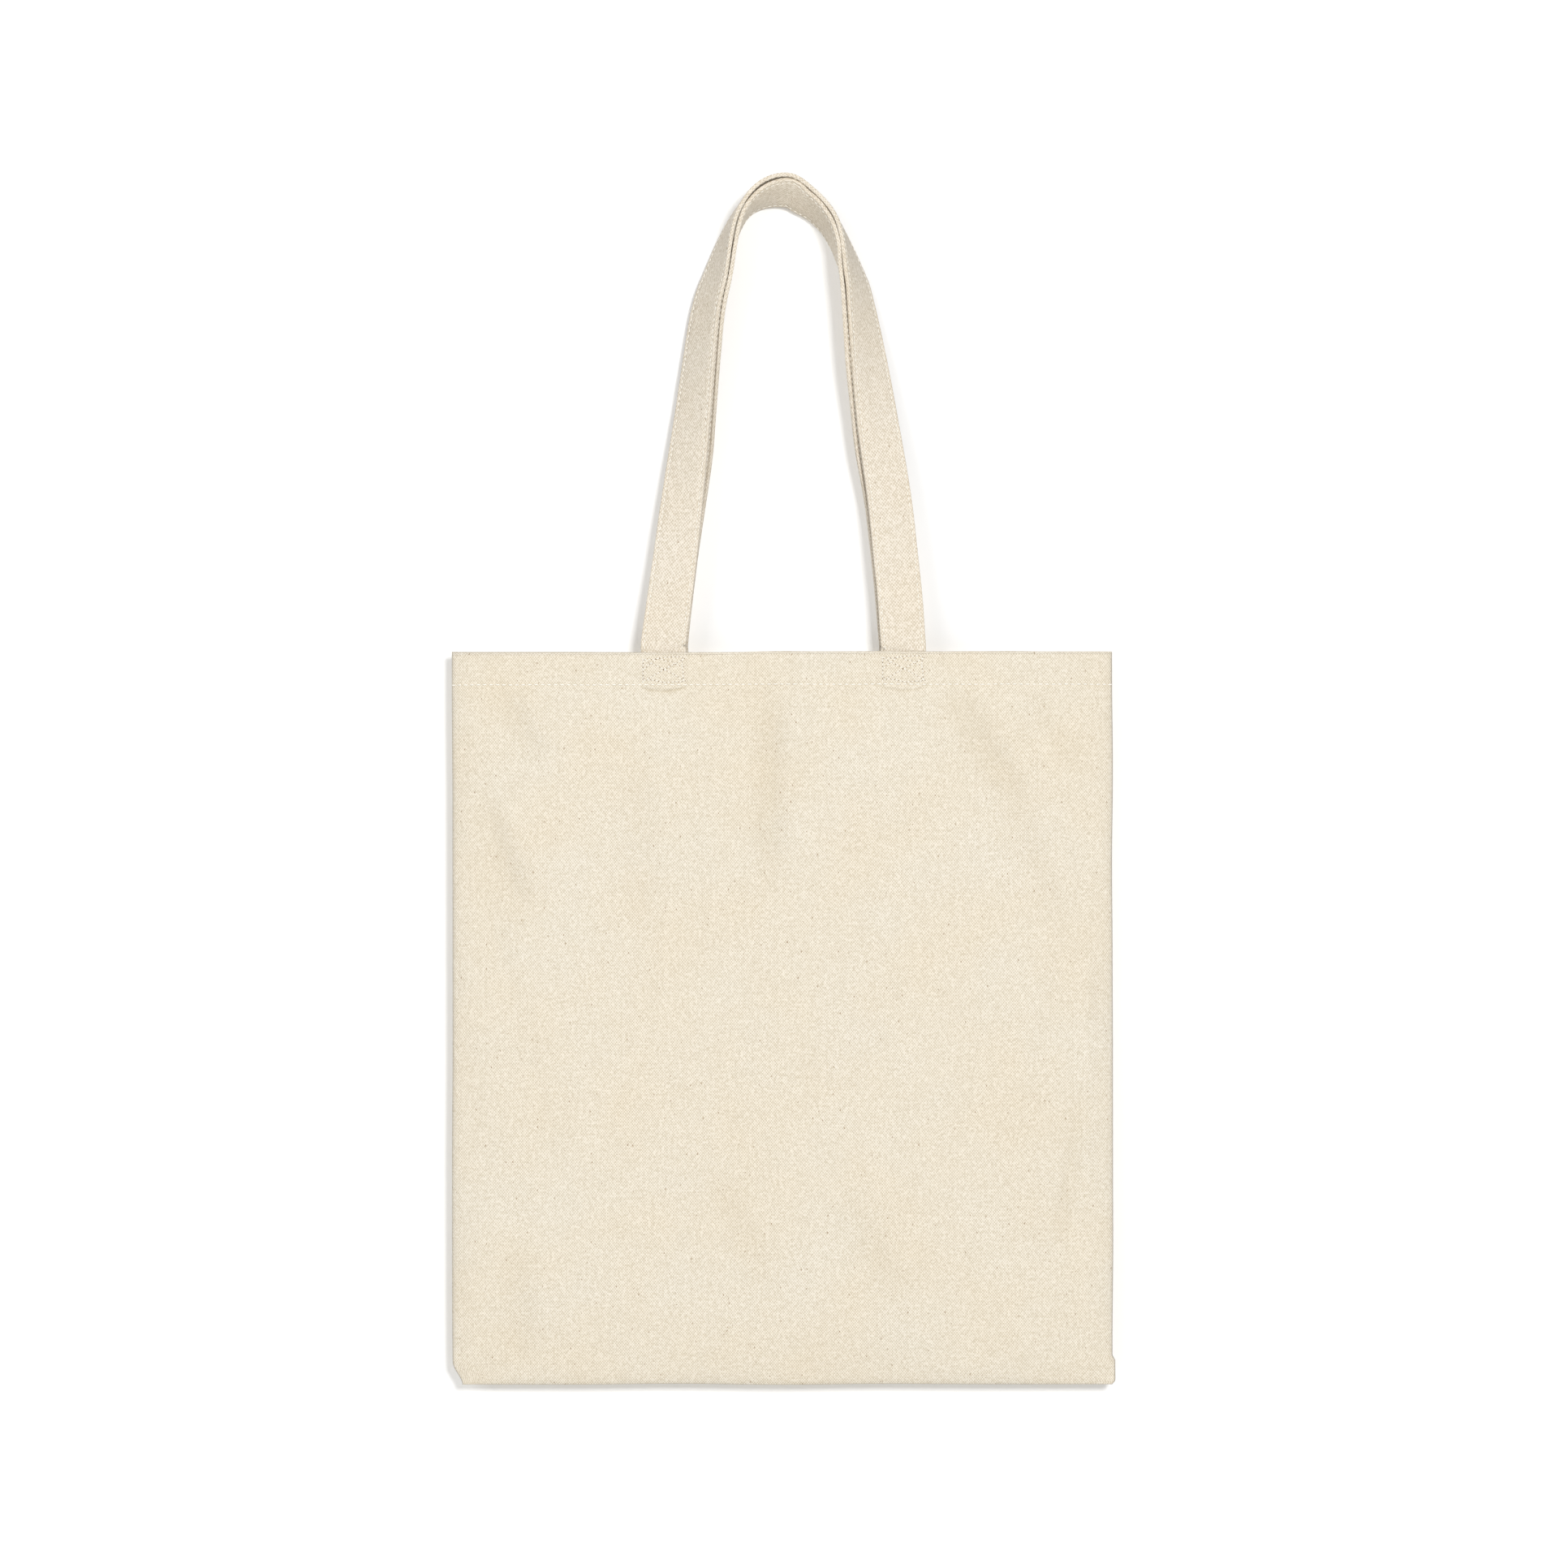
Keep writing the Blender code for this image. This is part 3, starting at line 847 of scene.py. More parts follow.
@dataclass(frozen=True)
class BagForm:
    """The undraped form of the bag's body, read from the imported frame.

    Attributes:
        half_width: Middle to side edge.
        mouth: Height of the mouth edge.
        bottom: Height of the bottom seam.
        half_depth: Middle plane to a panel's outer face.
        half_mouth: The same at the hem.
        roll: How far the rolled edges reach in.
        taper: Where the mouth starts to draw in, below its edge.
        hem: Depth of the hem band.
        seam: Half of the gap between the panels at a seam.
    """

    half_width: float
    mouth: float
    bottom: float
    half_depth: float
    half_mouth: float
    roll: float = 60 * MM
    taper: float = 60 * MM
    hem: float = 20 * MM
    seam: float = 0.12 * MM

    @classmethod
    def from_frame(cls) -> "BagForm":
        """Read the sizes from the CAD panels and hem.

        Returns:
            The form.
        """
        low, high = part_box("front_panel")
        hem_low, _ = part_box("front_hem")
        cloth = 1.1 * MM
        return cls(half_width=high[0], mouth=high[2], bottom=low[2], half_depth=-low[1],
                   half_mouth=-hem_low[1] + cloth)

    def depth(self, x: Array, z: Array) -> Array:
        """Distance from the middle plane to the undraped outer face, in metres.

        Args:
            x: Places across.
            z: Heights.

        Returns:
            Distances in metres.
        """
        turn_x = np.clip((self.half_width - np.abs(x)) / self.roll, 0.0, 1.0)
        turn_z = np.clip((z - self.bottom) / self.roll, 0.0, 1.0)
        sides = np.sqrt(1.0 - (1.0 - turn_x) ** 2)
        base = np.sqrt(1.0 - (1.0 - turn_z) ** 2)
        start = self.mouth - self.taper
        drawn = smooth((z - start) / (self.taper - self.hem - 2 * MM))
        mouth = 1.0 + (self.half_mouth / self.half_depth - 1.0) * drawn
        return self.seam + (self.half_depth - self.seam) * sides * base * mouth

    def outline_shift(self, x: Array, z: Array) -> tuple[Array, Array]:
        """How the bag's outline strays from a true rectangle.

        Args:
            x: Places across.
            z: Heights.

        Returns:
            The shift across and the shift in height, in metres.
        """
        above = (z - self.bottom) / MM
        edge = smooth((np.abs(x) - self.half_width + SIDE_REACH) / SIDE_REACH)
        left = x < 0
        wander = np.where(left, wave(z, 70 * MM, 5), wave(z, 55 * MM, 6)) * SIDE_WANDER
        corner = np.where(left, LEFT_CORNER * (1 - smooth(above / 13)),
                          RIGHT_CORNER * (1 - smooth(above / 3)))
        swell = np.where(left, 0.0,
                         RIGHT_SWELL * smooth((17 - above) / 3) * smooth((above + 1) / 3))
        shift_x = -np.sign(x) * (corner - swell - wander) * edge * MM
        low = smooth((24 - above) / 24)
        return shift_x, wave(x, 60 * MM, 8) * BOTTOM_WANDER * low * MM

    def columns(self, count: int) -> tuple[Array, Array]:
        """Places across, evenly spaced on the cloth.

        Args:
            count: Number of columns.

        Returns:
            The x of each column, and its place on the flat cloth.
        """
        fine = np.sin(np.linspace(-math.pi / 2, math.pi / 2, 6000)) * self.half_width
        depth = self.depth(fine, np.full_like(fine, (self.mouth + self.bottom) / 2))
        steps = np.hypot(np.diff(fine), np.diff(depth))
        travel = np.concatenate([[0.0], np.cumsum(steps)])
        even = np.linspace(0.0, travel[-1], count)
        return np.interp(even, travel, fine), even - travel[-1] / 2


CANVAS_CLOTH = {"quality": 6, "mass": 0.12, "tension_stiffness": 25.0,
                "compression_stiffness": 25.0, "shear_stiffness": 12.0,
                "bending_stiffness": 6.0, "air_damping": 3.0}
BROAD_SWELL, BROAD_SIZE = 0.80, 70      # heights and sizes of the cloth's unevenness, in mm
SMALL_SWELL, SMALL_SIZE = 0.30, 28
HEM_SWELL, HEM_SIZE = 0.28, 5.5
PUCKER_SWELL, PUCKER_SIZE = 0.22, 3.4
STITCH_LINE, STITCH_DENT = -19, 0.30    # the hem's stitches, from the mouth edge, in mm
LIP_DENT = 0.12
MOST_RELIEF = 2.6
END_REACH = 22.6                        # a strap end's lower edge, below the mouth, in mm


@dataclass
class Drape:
    """How the cloth of one panel hangs: simulated wrinkles, folds and puckers.

    Attributes:
        form: The bag's undraped form.
        side: Which panel.
        step: Spacing of the simulated cloth.
        excess: Share of spare cloth between the seams, which makes it ripple.
        frames: Frames of simulation.
        ripple: Greatest height that the simulated ripples keep.
    """

    form: BagForm
    side: Side
    step: float = 4 * MM
    excess: float = 0.0025
    frames: int = 24
    ripple: float = 0.75 * MM
    _field: Array = field(default=None, repr=False)
    _size: tuple[int, int] = (0, 0)

    def settle(self) -> None:
        form = self.form
        columns = round(2 * form.half_width / self.step) + 1
        rows = round((form.mouth - form.bottom) / self.step) + 1
        self._size = (rows, columns)
        x = np.linspace(-form.half_width, form.half_width, columns)
        z = np.linspace(form.bottom, form.mouth, rows)
        grid_x, grid_z = np.meshgrid(x, z)
        depth = form.depth(grid_x, grid_z)
        places = np.stack([grid_x, grid_z], -1)
        start = depth + value_noise(places, 45 * MM, 20 + self.side.value) * 0.5 * MM
        points = np.stack([grid_x, self.side.value * start, grid_z], -1)
        settled = self._simulate(points)
        moved = settled[..., 1] * self.side.value - depth
        edge = np.minimum(form.half_width - np.abs(grid_x), grid_z - form.bottom)
        kept = self.ripple * smooth(edge / (45 * MM))
        self._field = kept * np.tanh((moved - np.median(moved)) / self.ripple * 0.7)
        LOG.info("%s panel simulated, ripples %.2f mm rms", self.side.label,
                 float(np.std(self._field)) / MM)

    def _simulate(self, points: Array) -> Array:
        """Let a grid that is sewn at its seams and hem settle as cloth.

        Args:
            points: Array of (rows, columns, 3), the start.

        Returns:
            The settled points, with the same shape.
        """
        rows, columns = points.shape[:2]
        index = np.arange(rows * columns).reshape(rows, columns)
        faces = np.stack([index[:-1, :-1].ravel(), index[:-1, 1:].ravel(),
                          index[1:, 1:].ravel(), index[1:, :-1].ravel()], -1)
        mesh = make_mesh("cloth_trial", points.reshape(-1, 3), faces)
        cloth = bpy.data.objects.new("cloth_trial", mesh)
        scene = bpy.context.scene
        scene.collection.objects.link(cloth)
        pins = cloth.vertex_groups.new(name="sewn")
        hem_rows = max(round(self.form.hem / self.step), 1)
        sewn = np.concatenate([index[0], index[-hem_rows:].ravel(), index[:, 0], index[:, -1]])
        pins.add([int(i) for i in np.unique(sewn)], 1.0, "REPLACE")
        modifier = cloth.modifiers.new("cloth", "CLOTH")
        settings = modifier.settings
        for label, value in CANVAS_CLOTH.items():
            setattr(settings, label, value)
        settings.vertex_group_mass = "sewn"
        settings.shrink_min = -self.excess
        modifier.collision_settings.use_collision = False
        modifier.point_cache.frame_start = 1
        modifier.point_cache.frame_end = self.frames
        for number in range(1, self.frames + 1):
            scene.frame_set(number)
        settled = cloth.evaluated_get(bpy.context.evaluated_depsgraph_get())
        places = np.empty(rows * columns * 3)
        settled.data.vertices.foreach_get("co", places)
        bpy.data.objects.remove(cloth)
        scene.frame_set(1)
        return places.reshape(rows, columns, 3)

    def _read_field(self, x: Array, z: Array) -> Array:
        """Read the simulated field smoothly on a grid.

        Args:
            x: Places of the columns.
            z: Heights of the rows.

        Returns:
            Array of (len(z), len(x)) in metres.
        """
        form = self.form
        rows, columns = self._size
        at_x = (x + form.half_width) / (2 * form.half_width) * (columns - 1)
        at_z = (z - form.bottom) / (form.mouth - form.bottom) * (rows - 1)
        weights_x = cubic_weights(np.clip(at_x, 0, columns - 1), columns)
        weights_z = cubic_weights(np.clip(at_z, 0, rows - 1), rows)
        return weights_z @ self._field @ weights_x.T

    def relief(self, x: Array, z: Array) -> Array:
        """How far the draped cloth stands out from the undraped form.

        Args:
            x: Places of the columns.
            z: Heights of the rows.

        Returns:
            Array of (len(z), len(x)) in metres.
        """
        form = self.form
        grid_x, grid_z = np.meshgrid(x, z)
        places = np.stack([grid_x, grid_z - form.mouth], -1) / MM
        below = places[..., 1]
        seed = 40 + 7 * self.side.value
        total = self._read_field(x, z) / MM
        for fold in FOLDS[self.side]:
            total = total + FOLD_DEPTH * fold.offset(places)
        total += (BROAD_SWELL * value_noise(places, BROAD_SIZE, seed)
                  + SMALL_SWELL * value_noise(places, SMALL_SIZE, seed + 1))
        stretched = places * np.array([1.0, 0.35])
        hem_near = smooth((below + 46) / 26)
        total += HEM_SWELL * hem_near * value_noise(stretched, HEM_SIZE, seed + 2)
        total -= STITCH_DENT * np.exp(-((below - STITCH_LINE) / 1.3) ** 2)
        total -= LIP_DENT * smooth((below + 4) / 4)
        total += self._strap_ends(places)
        side_room = (form.half_width - np.abs(grid_x)) / MM
        bottom_room = (grid_z - form.bottom) / MM
        free = smooth(side_room / 16) * smooth(bottom_room / 16)
        pucker = smooth(side_room / 2.5) * (1 - smooth((side_room - 3) / 9))
        along = np.stack([places[..., 0] * 0.2, below], -1)
        gathered = PUCKER_SWELL * pucker * value_noise(along, PUCKER_SIZE, seed + 3)
        floor = np.where(hem_near > 0, -0.25 - 2.4 * (1 - hem_near), -MOST_RELIEF)
        return (np.clip(total, floor, MOST_RELIEF) * free + gathered) * MM

    def crease_shade(self, x: Array, z: Array) -> Array:
        """Painted shade: how much the colour darkens in fold valleys, along the hem's stitch line,
        in the crease under each strap's end and in soft spots over it.

        Args:
            x: Places of the columns.
            z: Heights of the rows.

        Returns:
            Array of (len(z), len(x)) from 0 to 1.
        """
        grid_x, grid_z = np.meshgrid(x, z)
        places = np.stack([grid_x, grid_z - self.form.mouth], -1) / MM
        # Painted shade in the fold valleys, along the stitch line and under the straps' ends.
        total = sum(0.50 * np.maximum(-fold.offset(places), 0.0) for fold in FOLDS[self.side])
        total = total + 0.10 * np.exp(-((places[..., 1] + 19.9) / 0.7) ** 2)
        for end, depth in (("left", 1.0), ("right", 0.5)):
            across, above = self._end_shape(places, end)
            total += depth * across * np.exp(-((above + 0.2) / 0.75) ** 2)
            inside = across * smooth(above / 1.0) * (places[..., 1] < -1.6)
            total += 0.10 * inside * np.clip(value_noise(places, 2.2, 78), 0, 1)
        return np.clip(total, 0.0, 1.0)

    def _end_shape(self, places: Array, end: str) -> tuple[Array, Array]:
        """Where one strap's end lies behind the hem.

        Args:
            places: Array of (..., 2) in millimetres from the middle of the mouth edge.
            end: Which end of the handle.

        Returns:
            How far across the strap each place is, 0 outside it and 1 over it, and its
            height above the strap's lower edge in millimetres.
        """
        low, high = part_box(f"{self.side.label}_{end}_handle_end")
        middle, half = (low[0] + high[0]) / 2 / MM, (high[0] - low[0]) / 2 / MM
        across = smooth((half + 0.8 - np.abs(places[..., 0] - middle)) / 2.0)
        sag = np.clip(np.abs(places[..., 0] - middle) / half, 0, 1) ** 2
        return across, places[..., 1] + END_REACH - 2.4 * sag

    def _strap_ends(self, places: Array) -> Array:
        """The low bumps where the straps' ends lie behind the hem, in millimetres.

        Args:
            places: Array of (..., 2) in millimetres from the middle of the mouth edge.

        Returns:
            One height for each place.
        """
        bump = np.zeros(places.shape[:-1])
        for end, height in (("left", 0.75), ("right", 0.55)):
            across, above = self._end_shape(places, end)
            crease = np.exp(-((above + 0.3) / 0.7) ** 2)
            bump += height * across * (smooth(above / 1.0) - 0.65 * crease)
            patch = across * smooth((places[..., 1] + 17.5) / 2) * (places[..., 1] < -1)
            bump += 0.20 * patch * value_noise(places, 2.4, 77)
        return bump

    def surface(self, x: Array, z: Array) -> Array:
        """The draped outer face.

        Args:
            x: Places of the columns.
            z: Heights of the rows.

        Returns:
            Array of (len(z), len(x), 3).
        """
        grid_x, grid_z = np.meshgrid(x, z)
        depth = self.form.depth(grid_x, grid_z) + self.relief(x, z)
        depth = np.maximum(depth, self.form.seam)
        shift_x, shift_z = self.form.outline_shift(grid_x, grid_z)
        shift_z = shift_z + self._mouth_shift(grid_x, grid_z)
        return np.stack([grid_x + shift_x, self.side.value * depth, grid_z + shift_z], -1)

    def _mouth_shift(self, x: Array, z: Array) -> Array:
        """How the mouth edge strays from a level line, in metres.

        Args:
            x: Places across.
            z: Heights.

        Returns:
            The shift in height at each place.
        """
        near = smooth((z - self.form.mouth + 40 * MM) / (40 * MM))
        if self.side is Side.FRONT:
            dip = 0.9 * (1 - smooth((x / MM + 40) / 60)) + 0.35 * wave(x, 38 * MM, 31)
        else:
            dip = 0.25 + 0.75 * smooth((x / MM + 70) / 60) + 0.15 * wave(x, 45 * MM, 32)
        return -np.abs(dip) * near * MM


# ---------- Cloth pieces of the body ----------
@dataclass
class Panel:
    """One side of the bag: a draped sheet of canvas.

    Attributes:
        drape: How it hangs.
        cloth: Thickness of the canvas.
        column_count: Columns of its mesh.
        hem_step: Row spacing over the hem.
        step: Row spacing below it.
        lip: How far its top edge stays below the mouth, under the rolled hem.
        side_cut: Not used.
        end_cut: Not used.
        hem_rows: How far down the close rows reach from the mouth.
        seam_rows: How far up the close rows reach from the bottom seam.
    """

    drape: Drape
    cloth: float = 0.8 * MM
    column_count: int = 236
    hem_step: float = 0.7 * MM
    step: float = 2.9 * MM
    lip: float = 1.46 * MM
    side_cut: float = 20 * MM
    end_cut: float = 15 * MM
    hem_rows: float = 26 * MM
    seam_rows: float = 14 * MM

    def build(self) -> bpy.types.Mesh:
        """Make the sheet, from the bottom seam to just under the rolled mouth edge.

        Returns:
            The closed sheet.
        """
        form = self.drape.form
        x, flat_x = form.columns(self.column_count)
        top = form.mouth - self.lip
        hem_bottom = form.mouth - self.hem_rows
        coarse = np.arange(form.bottom + self.seam_rows, hem_bottom, self.step)
        close = form.bottom + self.seam_rows * np.linspace(0, 1, 14)[:-1] ** 1.6
        z = np.concatenate([close, coarse, np.arange(hem_bottom, top, self.hem_step), [top]])
        outer = self.drape.surface(x, z)
        inner = outer - grid_normals(outer) * self.cloth * self._outward(outer)
        side = self.drape.side.value
        inner[..., 1] = side * np.maximum(inner[..., 1] * side, 0.05 * MM)
        uv = np.stack(np.meshgrid(flat_x, z), -1)
        return closed_sheet(f"{self.drape.side.label}_panel", outer, inner, uv,
                            self.drape.crease_shade(x, z))

    def _outward(self, outer: Array) -> float:
        """The sign that turns this grid's normals away from the middle plane.

        Args:
            outer: The outer face, (rows, columns, 3).

        Returns:
            1 or -1.
        """
        middle = outer.shape[0] // 2, outer.shape[1] // 2
        normal = grid_normals(outer)[middle]
        return float(np.sign(normal[1] * self.drape.side.value))

    def dress(self, wardrobe: Wardrobe) -> None:
        """Build the piece, give it its finish and let it ride on the bag.

        Args:
            wardrobe: The bag's materials.
        """
        label = self.drape.side.label
        piece = add_piece(f"{label}_panel_cloth", self.build(), wardrobe.panel)
        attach(piece, BAG_BODY)
        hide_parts(f"{label}_panel")


@dataclass
class Hem:
    """The turned-in band at the mouth: a rolled edge with a facing inside it.

    Attributes:
        drape: How the panel hangs.
        cloth: Thickness of the canvas.
        lip: How far the rolled edge comes down outside.
        radius: Radius of the roll.
        under: How far the lip starts under the panel's face.
        column_count: Columns of its mesh.
    """

    drape: Drape
    cloth: float = 0.8 * MM
    lip: float = 1.4 * MM
    radius: float = 0.98 * MM
    under: float = 0.06 * MM
    column_count: int = 236

    def build(self) -> bpy.types.Mesh:
        """Make the band from the outer lip, over the roll and down the inside.

        Returns:
            The closed band.
        """
        form, side, radius = self.drape.form, self.drape.side.value, self.radius
        x, flat_x = form.columns(self.column_count)
        turns = np.linspace(0, math.pi, 9)
        offsets = np.concatenate([[-self.under] * 2, radius - (radius + self.under) * np.cos(turns),
                                  [2 * radius] * 14])
        drops = np.concatenate([[-self.lip, -1.15 * MM], -radius + radius * np.sin(turns),
                                -radius - np.linspace(0, 1, 15)[1:] * (form.hem - radius)])
        mouth_rows = form.mouth + drops
        below_mouth = np.clip(mouth_rows, None, form.mouth)
        face = self.drape.surface(x, below_mouth)
        near_face = self.drape.surface(x, np.full(len(drops), form.mouth - 2 * MM))
        depth = side * face[..., 1]
        depth = np.minimum(depth, side * near_face[..., 1] + 0.5 * MM)
        room = np.clip((form.depth(x, np.full_like(x, form.mouth)) - 0.10 * MM) / (2 * radius),
                       0.12, 1.0)
        outer = face.copy()
        outer[..., 1] = side * (depth - offsets[:, None] * room[None, :])
        outer[..., 2] = face[..., 2] - below_mouth[:, None] + mouth_rows[:, None]
        normals = grid_normals(outer)
        sign = np.sign(normals[0, len(x) // 2, 1] * side)
        wall = (self.cloth * room)[None, :, None]
        inner = outer - normals * sign * wall
        travel = np.concatenate([[0], np.cumsum(np.hypot(np.diff(offsets), np.diff(drops)))])
        uv = np.stack(np.meshgrid(flat_x, form.mouth - travel), -1)
        return closed_sheet(f"{self.drape.side.label}_hem", outer, inner, uv)

    def dress(self, wardrobe: Wardrobe) -> None:
        """Build the piece, give it its finish and let it ride on the bag.

        Args:
            wardrobe: The bag's materials.
        """
        label = self.drape.side.label
        piece = add_piece(f"{label}_hem_band", self.build(), wardrobe.hem)
        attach(piece, BAG_BODY)
        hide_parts(f"{label}_hem")

    def dress_stitches(self, stitches: StitchTree, wardrobe: Wardrobe) -> None:
        """Lay the row of stitches that holds the hem.

        Args:
            stitches: The tree that lays stitches.
            wardrobe: The bag's materials.
        """
        side, form = self.drape.side, self.drape.form
        x = np.linspace(-form.half_width + 1.2 * MM, form.half_width - 1.2 * MM, 400)
        low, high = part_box(f"{side.label}_hem_stitching")
        z = (low[2] + high[2]) / 2
        face = self.drape.surface(x, np.array([z - 0.5 * MM, z, z + 0.5 * MM]))
        path = face[1] + np.stack([np.zeros_like(x), np.full_like(x, side.value * 0.32 * MM),
                                   wave(x, 14 * MM, 3) * 0.25 * MM], -1)
        outwards = np.tile([0.0, float(side.value), 0.0], (len(x), 1))
        name = f"{side.label}_hem_stitching_row"
        piece = stitches.lay(name, [(path, outwards)], wardrobe, HEM_SEWING,
                             seed=5 + side.value)
        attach(piece, BAG_BODY)
        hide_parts(f"{side.label}_hem_stitching")


EDGE_ROW = 1.5 * MM     # the second row of thread, in from the raw edge


@dataclass
class SeamAllowance:
    """The raw edges beyond one seam, lying inside the bag.

    Attributes:
        name: The CAD node that it stands for.
        count: Points along it.
        stitch_points: Points along each row of its stitches.
    """

    name: str
    count: int = 180
    stitch_points: int = 60

    def _frame(self) -> tuple[Vector, Vector, bool]:
        """The CAD strip's corners, and whether it stands upright.

        Returns:
            The low corner, the high corner and True if it is upright.
        """
        low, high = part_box(self.name)
        return low, high, (high[2] - low[2]) > (high[0] - low[0])

    def build(self) -> bpy.types.Mesh:
        """Make the strip of two layers with a softly waved raw edge.

        Returns:
            The closed strip.
        """
        low, high, upright = self._frame()
        long_low, long_high = (low[2], high[2]) if upright else (low[0], high[0])
        wide_low, wide_high = (low[0], high[0]) if upright else (low[2], high[2])
        along = np.linspace(long_low, long_high, self.count)
        across = np.linspace(wide_low, wide_high, 6)
        grid_across, grid_along = np.meshgrid(across, along)
        bend = wave(grid_along, 22 * MM, 61) * 0.22 * MM
        half = (high[1] - low[1]) / 2
        faces = []
        for sign in (-1, 1):
            y = bend + sign * half
            parts = (grid_across, y, grid_along) if upright else (grid_along, y, grid_across)
            faces.append(np.stack(parts, -1))
        uv = np.stack([grid_across, grid_along], -1)
        return closed_sheet(self.name, faces[0], faces[1], uv)

    def dress(self, stitches: StitchTree, wardrobe: Wardrobe) -> None:
        """Build the strip and the two rows of thread that close its seam.

        Args:
            stitches: The tree that lays stitches.
            wardrobe: The bag's materials.
        """
        piece = add_piece(self.name + "_strip", self.build(), wardrobe.raw_edge)
        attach(piece, BAG_BODY)
        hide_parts(self.name)
        low, high, upright = self._frame()
        node = self.name.replace("allowance", "stitching")
        seam_low, seam_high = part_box(node)
        middle = (seam_low + seam_high) / 2
        run, other = (2, 0) if upright else (0, 2)
        edge_at = low[0] + EDGE_ROW if upright and middle[0] >= 0 else high[other] - EDGE_ROW
        seam = np.zeros((self.stitch_points, 3))
        seam[:, run] = np.linspace(seam_low[run], seam_high[run], self.stitch_points)
        edge = seam.copy()
        seam[:, other] = middle[other]
        edge[:, 1], edge[:, other] = low[1] - 0.1 * MM, edge_at
        outwards = np.tile([0.0, -1.0, 0.0], (self.stitch_points, 1))
        thread = stitches.lay(node + "_rows", [(seam, outwards), (edge, outwards)], wardrobe,
                              SEAM_SEWING)
        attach(thread, BAG_BODY)
        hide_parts(node)


# ---------- Handles ----------
# A handle's route as (across, up, twist): shares of half the spread and of the rise, and
# the strap's turn about its own length in degrees.
FRONT_ROUTE = (
    (-0.996, 0.000, 0), (-0.992, 0.030, 1), (-0.879, 0.238, 16), (-0.759, 0.480, 37),
    (-0.654, 0.703, 52), (-0.558, 0.796, 61), (-0.416, 0.910, 82), (-0.219, 0.977, 90),
    (0.029, 1.000, 90), (0.234, 0.974, 90), (0.467, 0.905, 88), (0.606, 0.796, 66),
    (0.663, 0.721, 54), (0.801, 0.480, 24), (0.914, 0.293, 12), (1.009, 0.030, 1),
    (1.013, 0.000, 0),
)
BACK_ROUTE = (
    (-0.981, 0.000, 0), (-0.977, 0.030, 1), (-0.876, 0.247, 12), (-0.711, 0.498, 34),
    (-0.604, 0.684, 52), (-0.495, 0.794, 68), (-0.388, 0.889, 85), (-0.255, 0.965, 98),
    (0.029, 1.000, 123), (0.150, 0.984, 118), (0.280, 0.952, 111), (0.425, 0.892, 99),
    (0.470, 0.817, 85), (0.584, 0.684, 66), (0.720, 0.498, 36), (0.886, 0.304, 18),
    (0.996, 0.030, 1), (1.000, 0.000, 0),
)
ROUTES = {Side.FRONT: FRONT_ROUTE, Side.BACK: BACK_ROUTE}


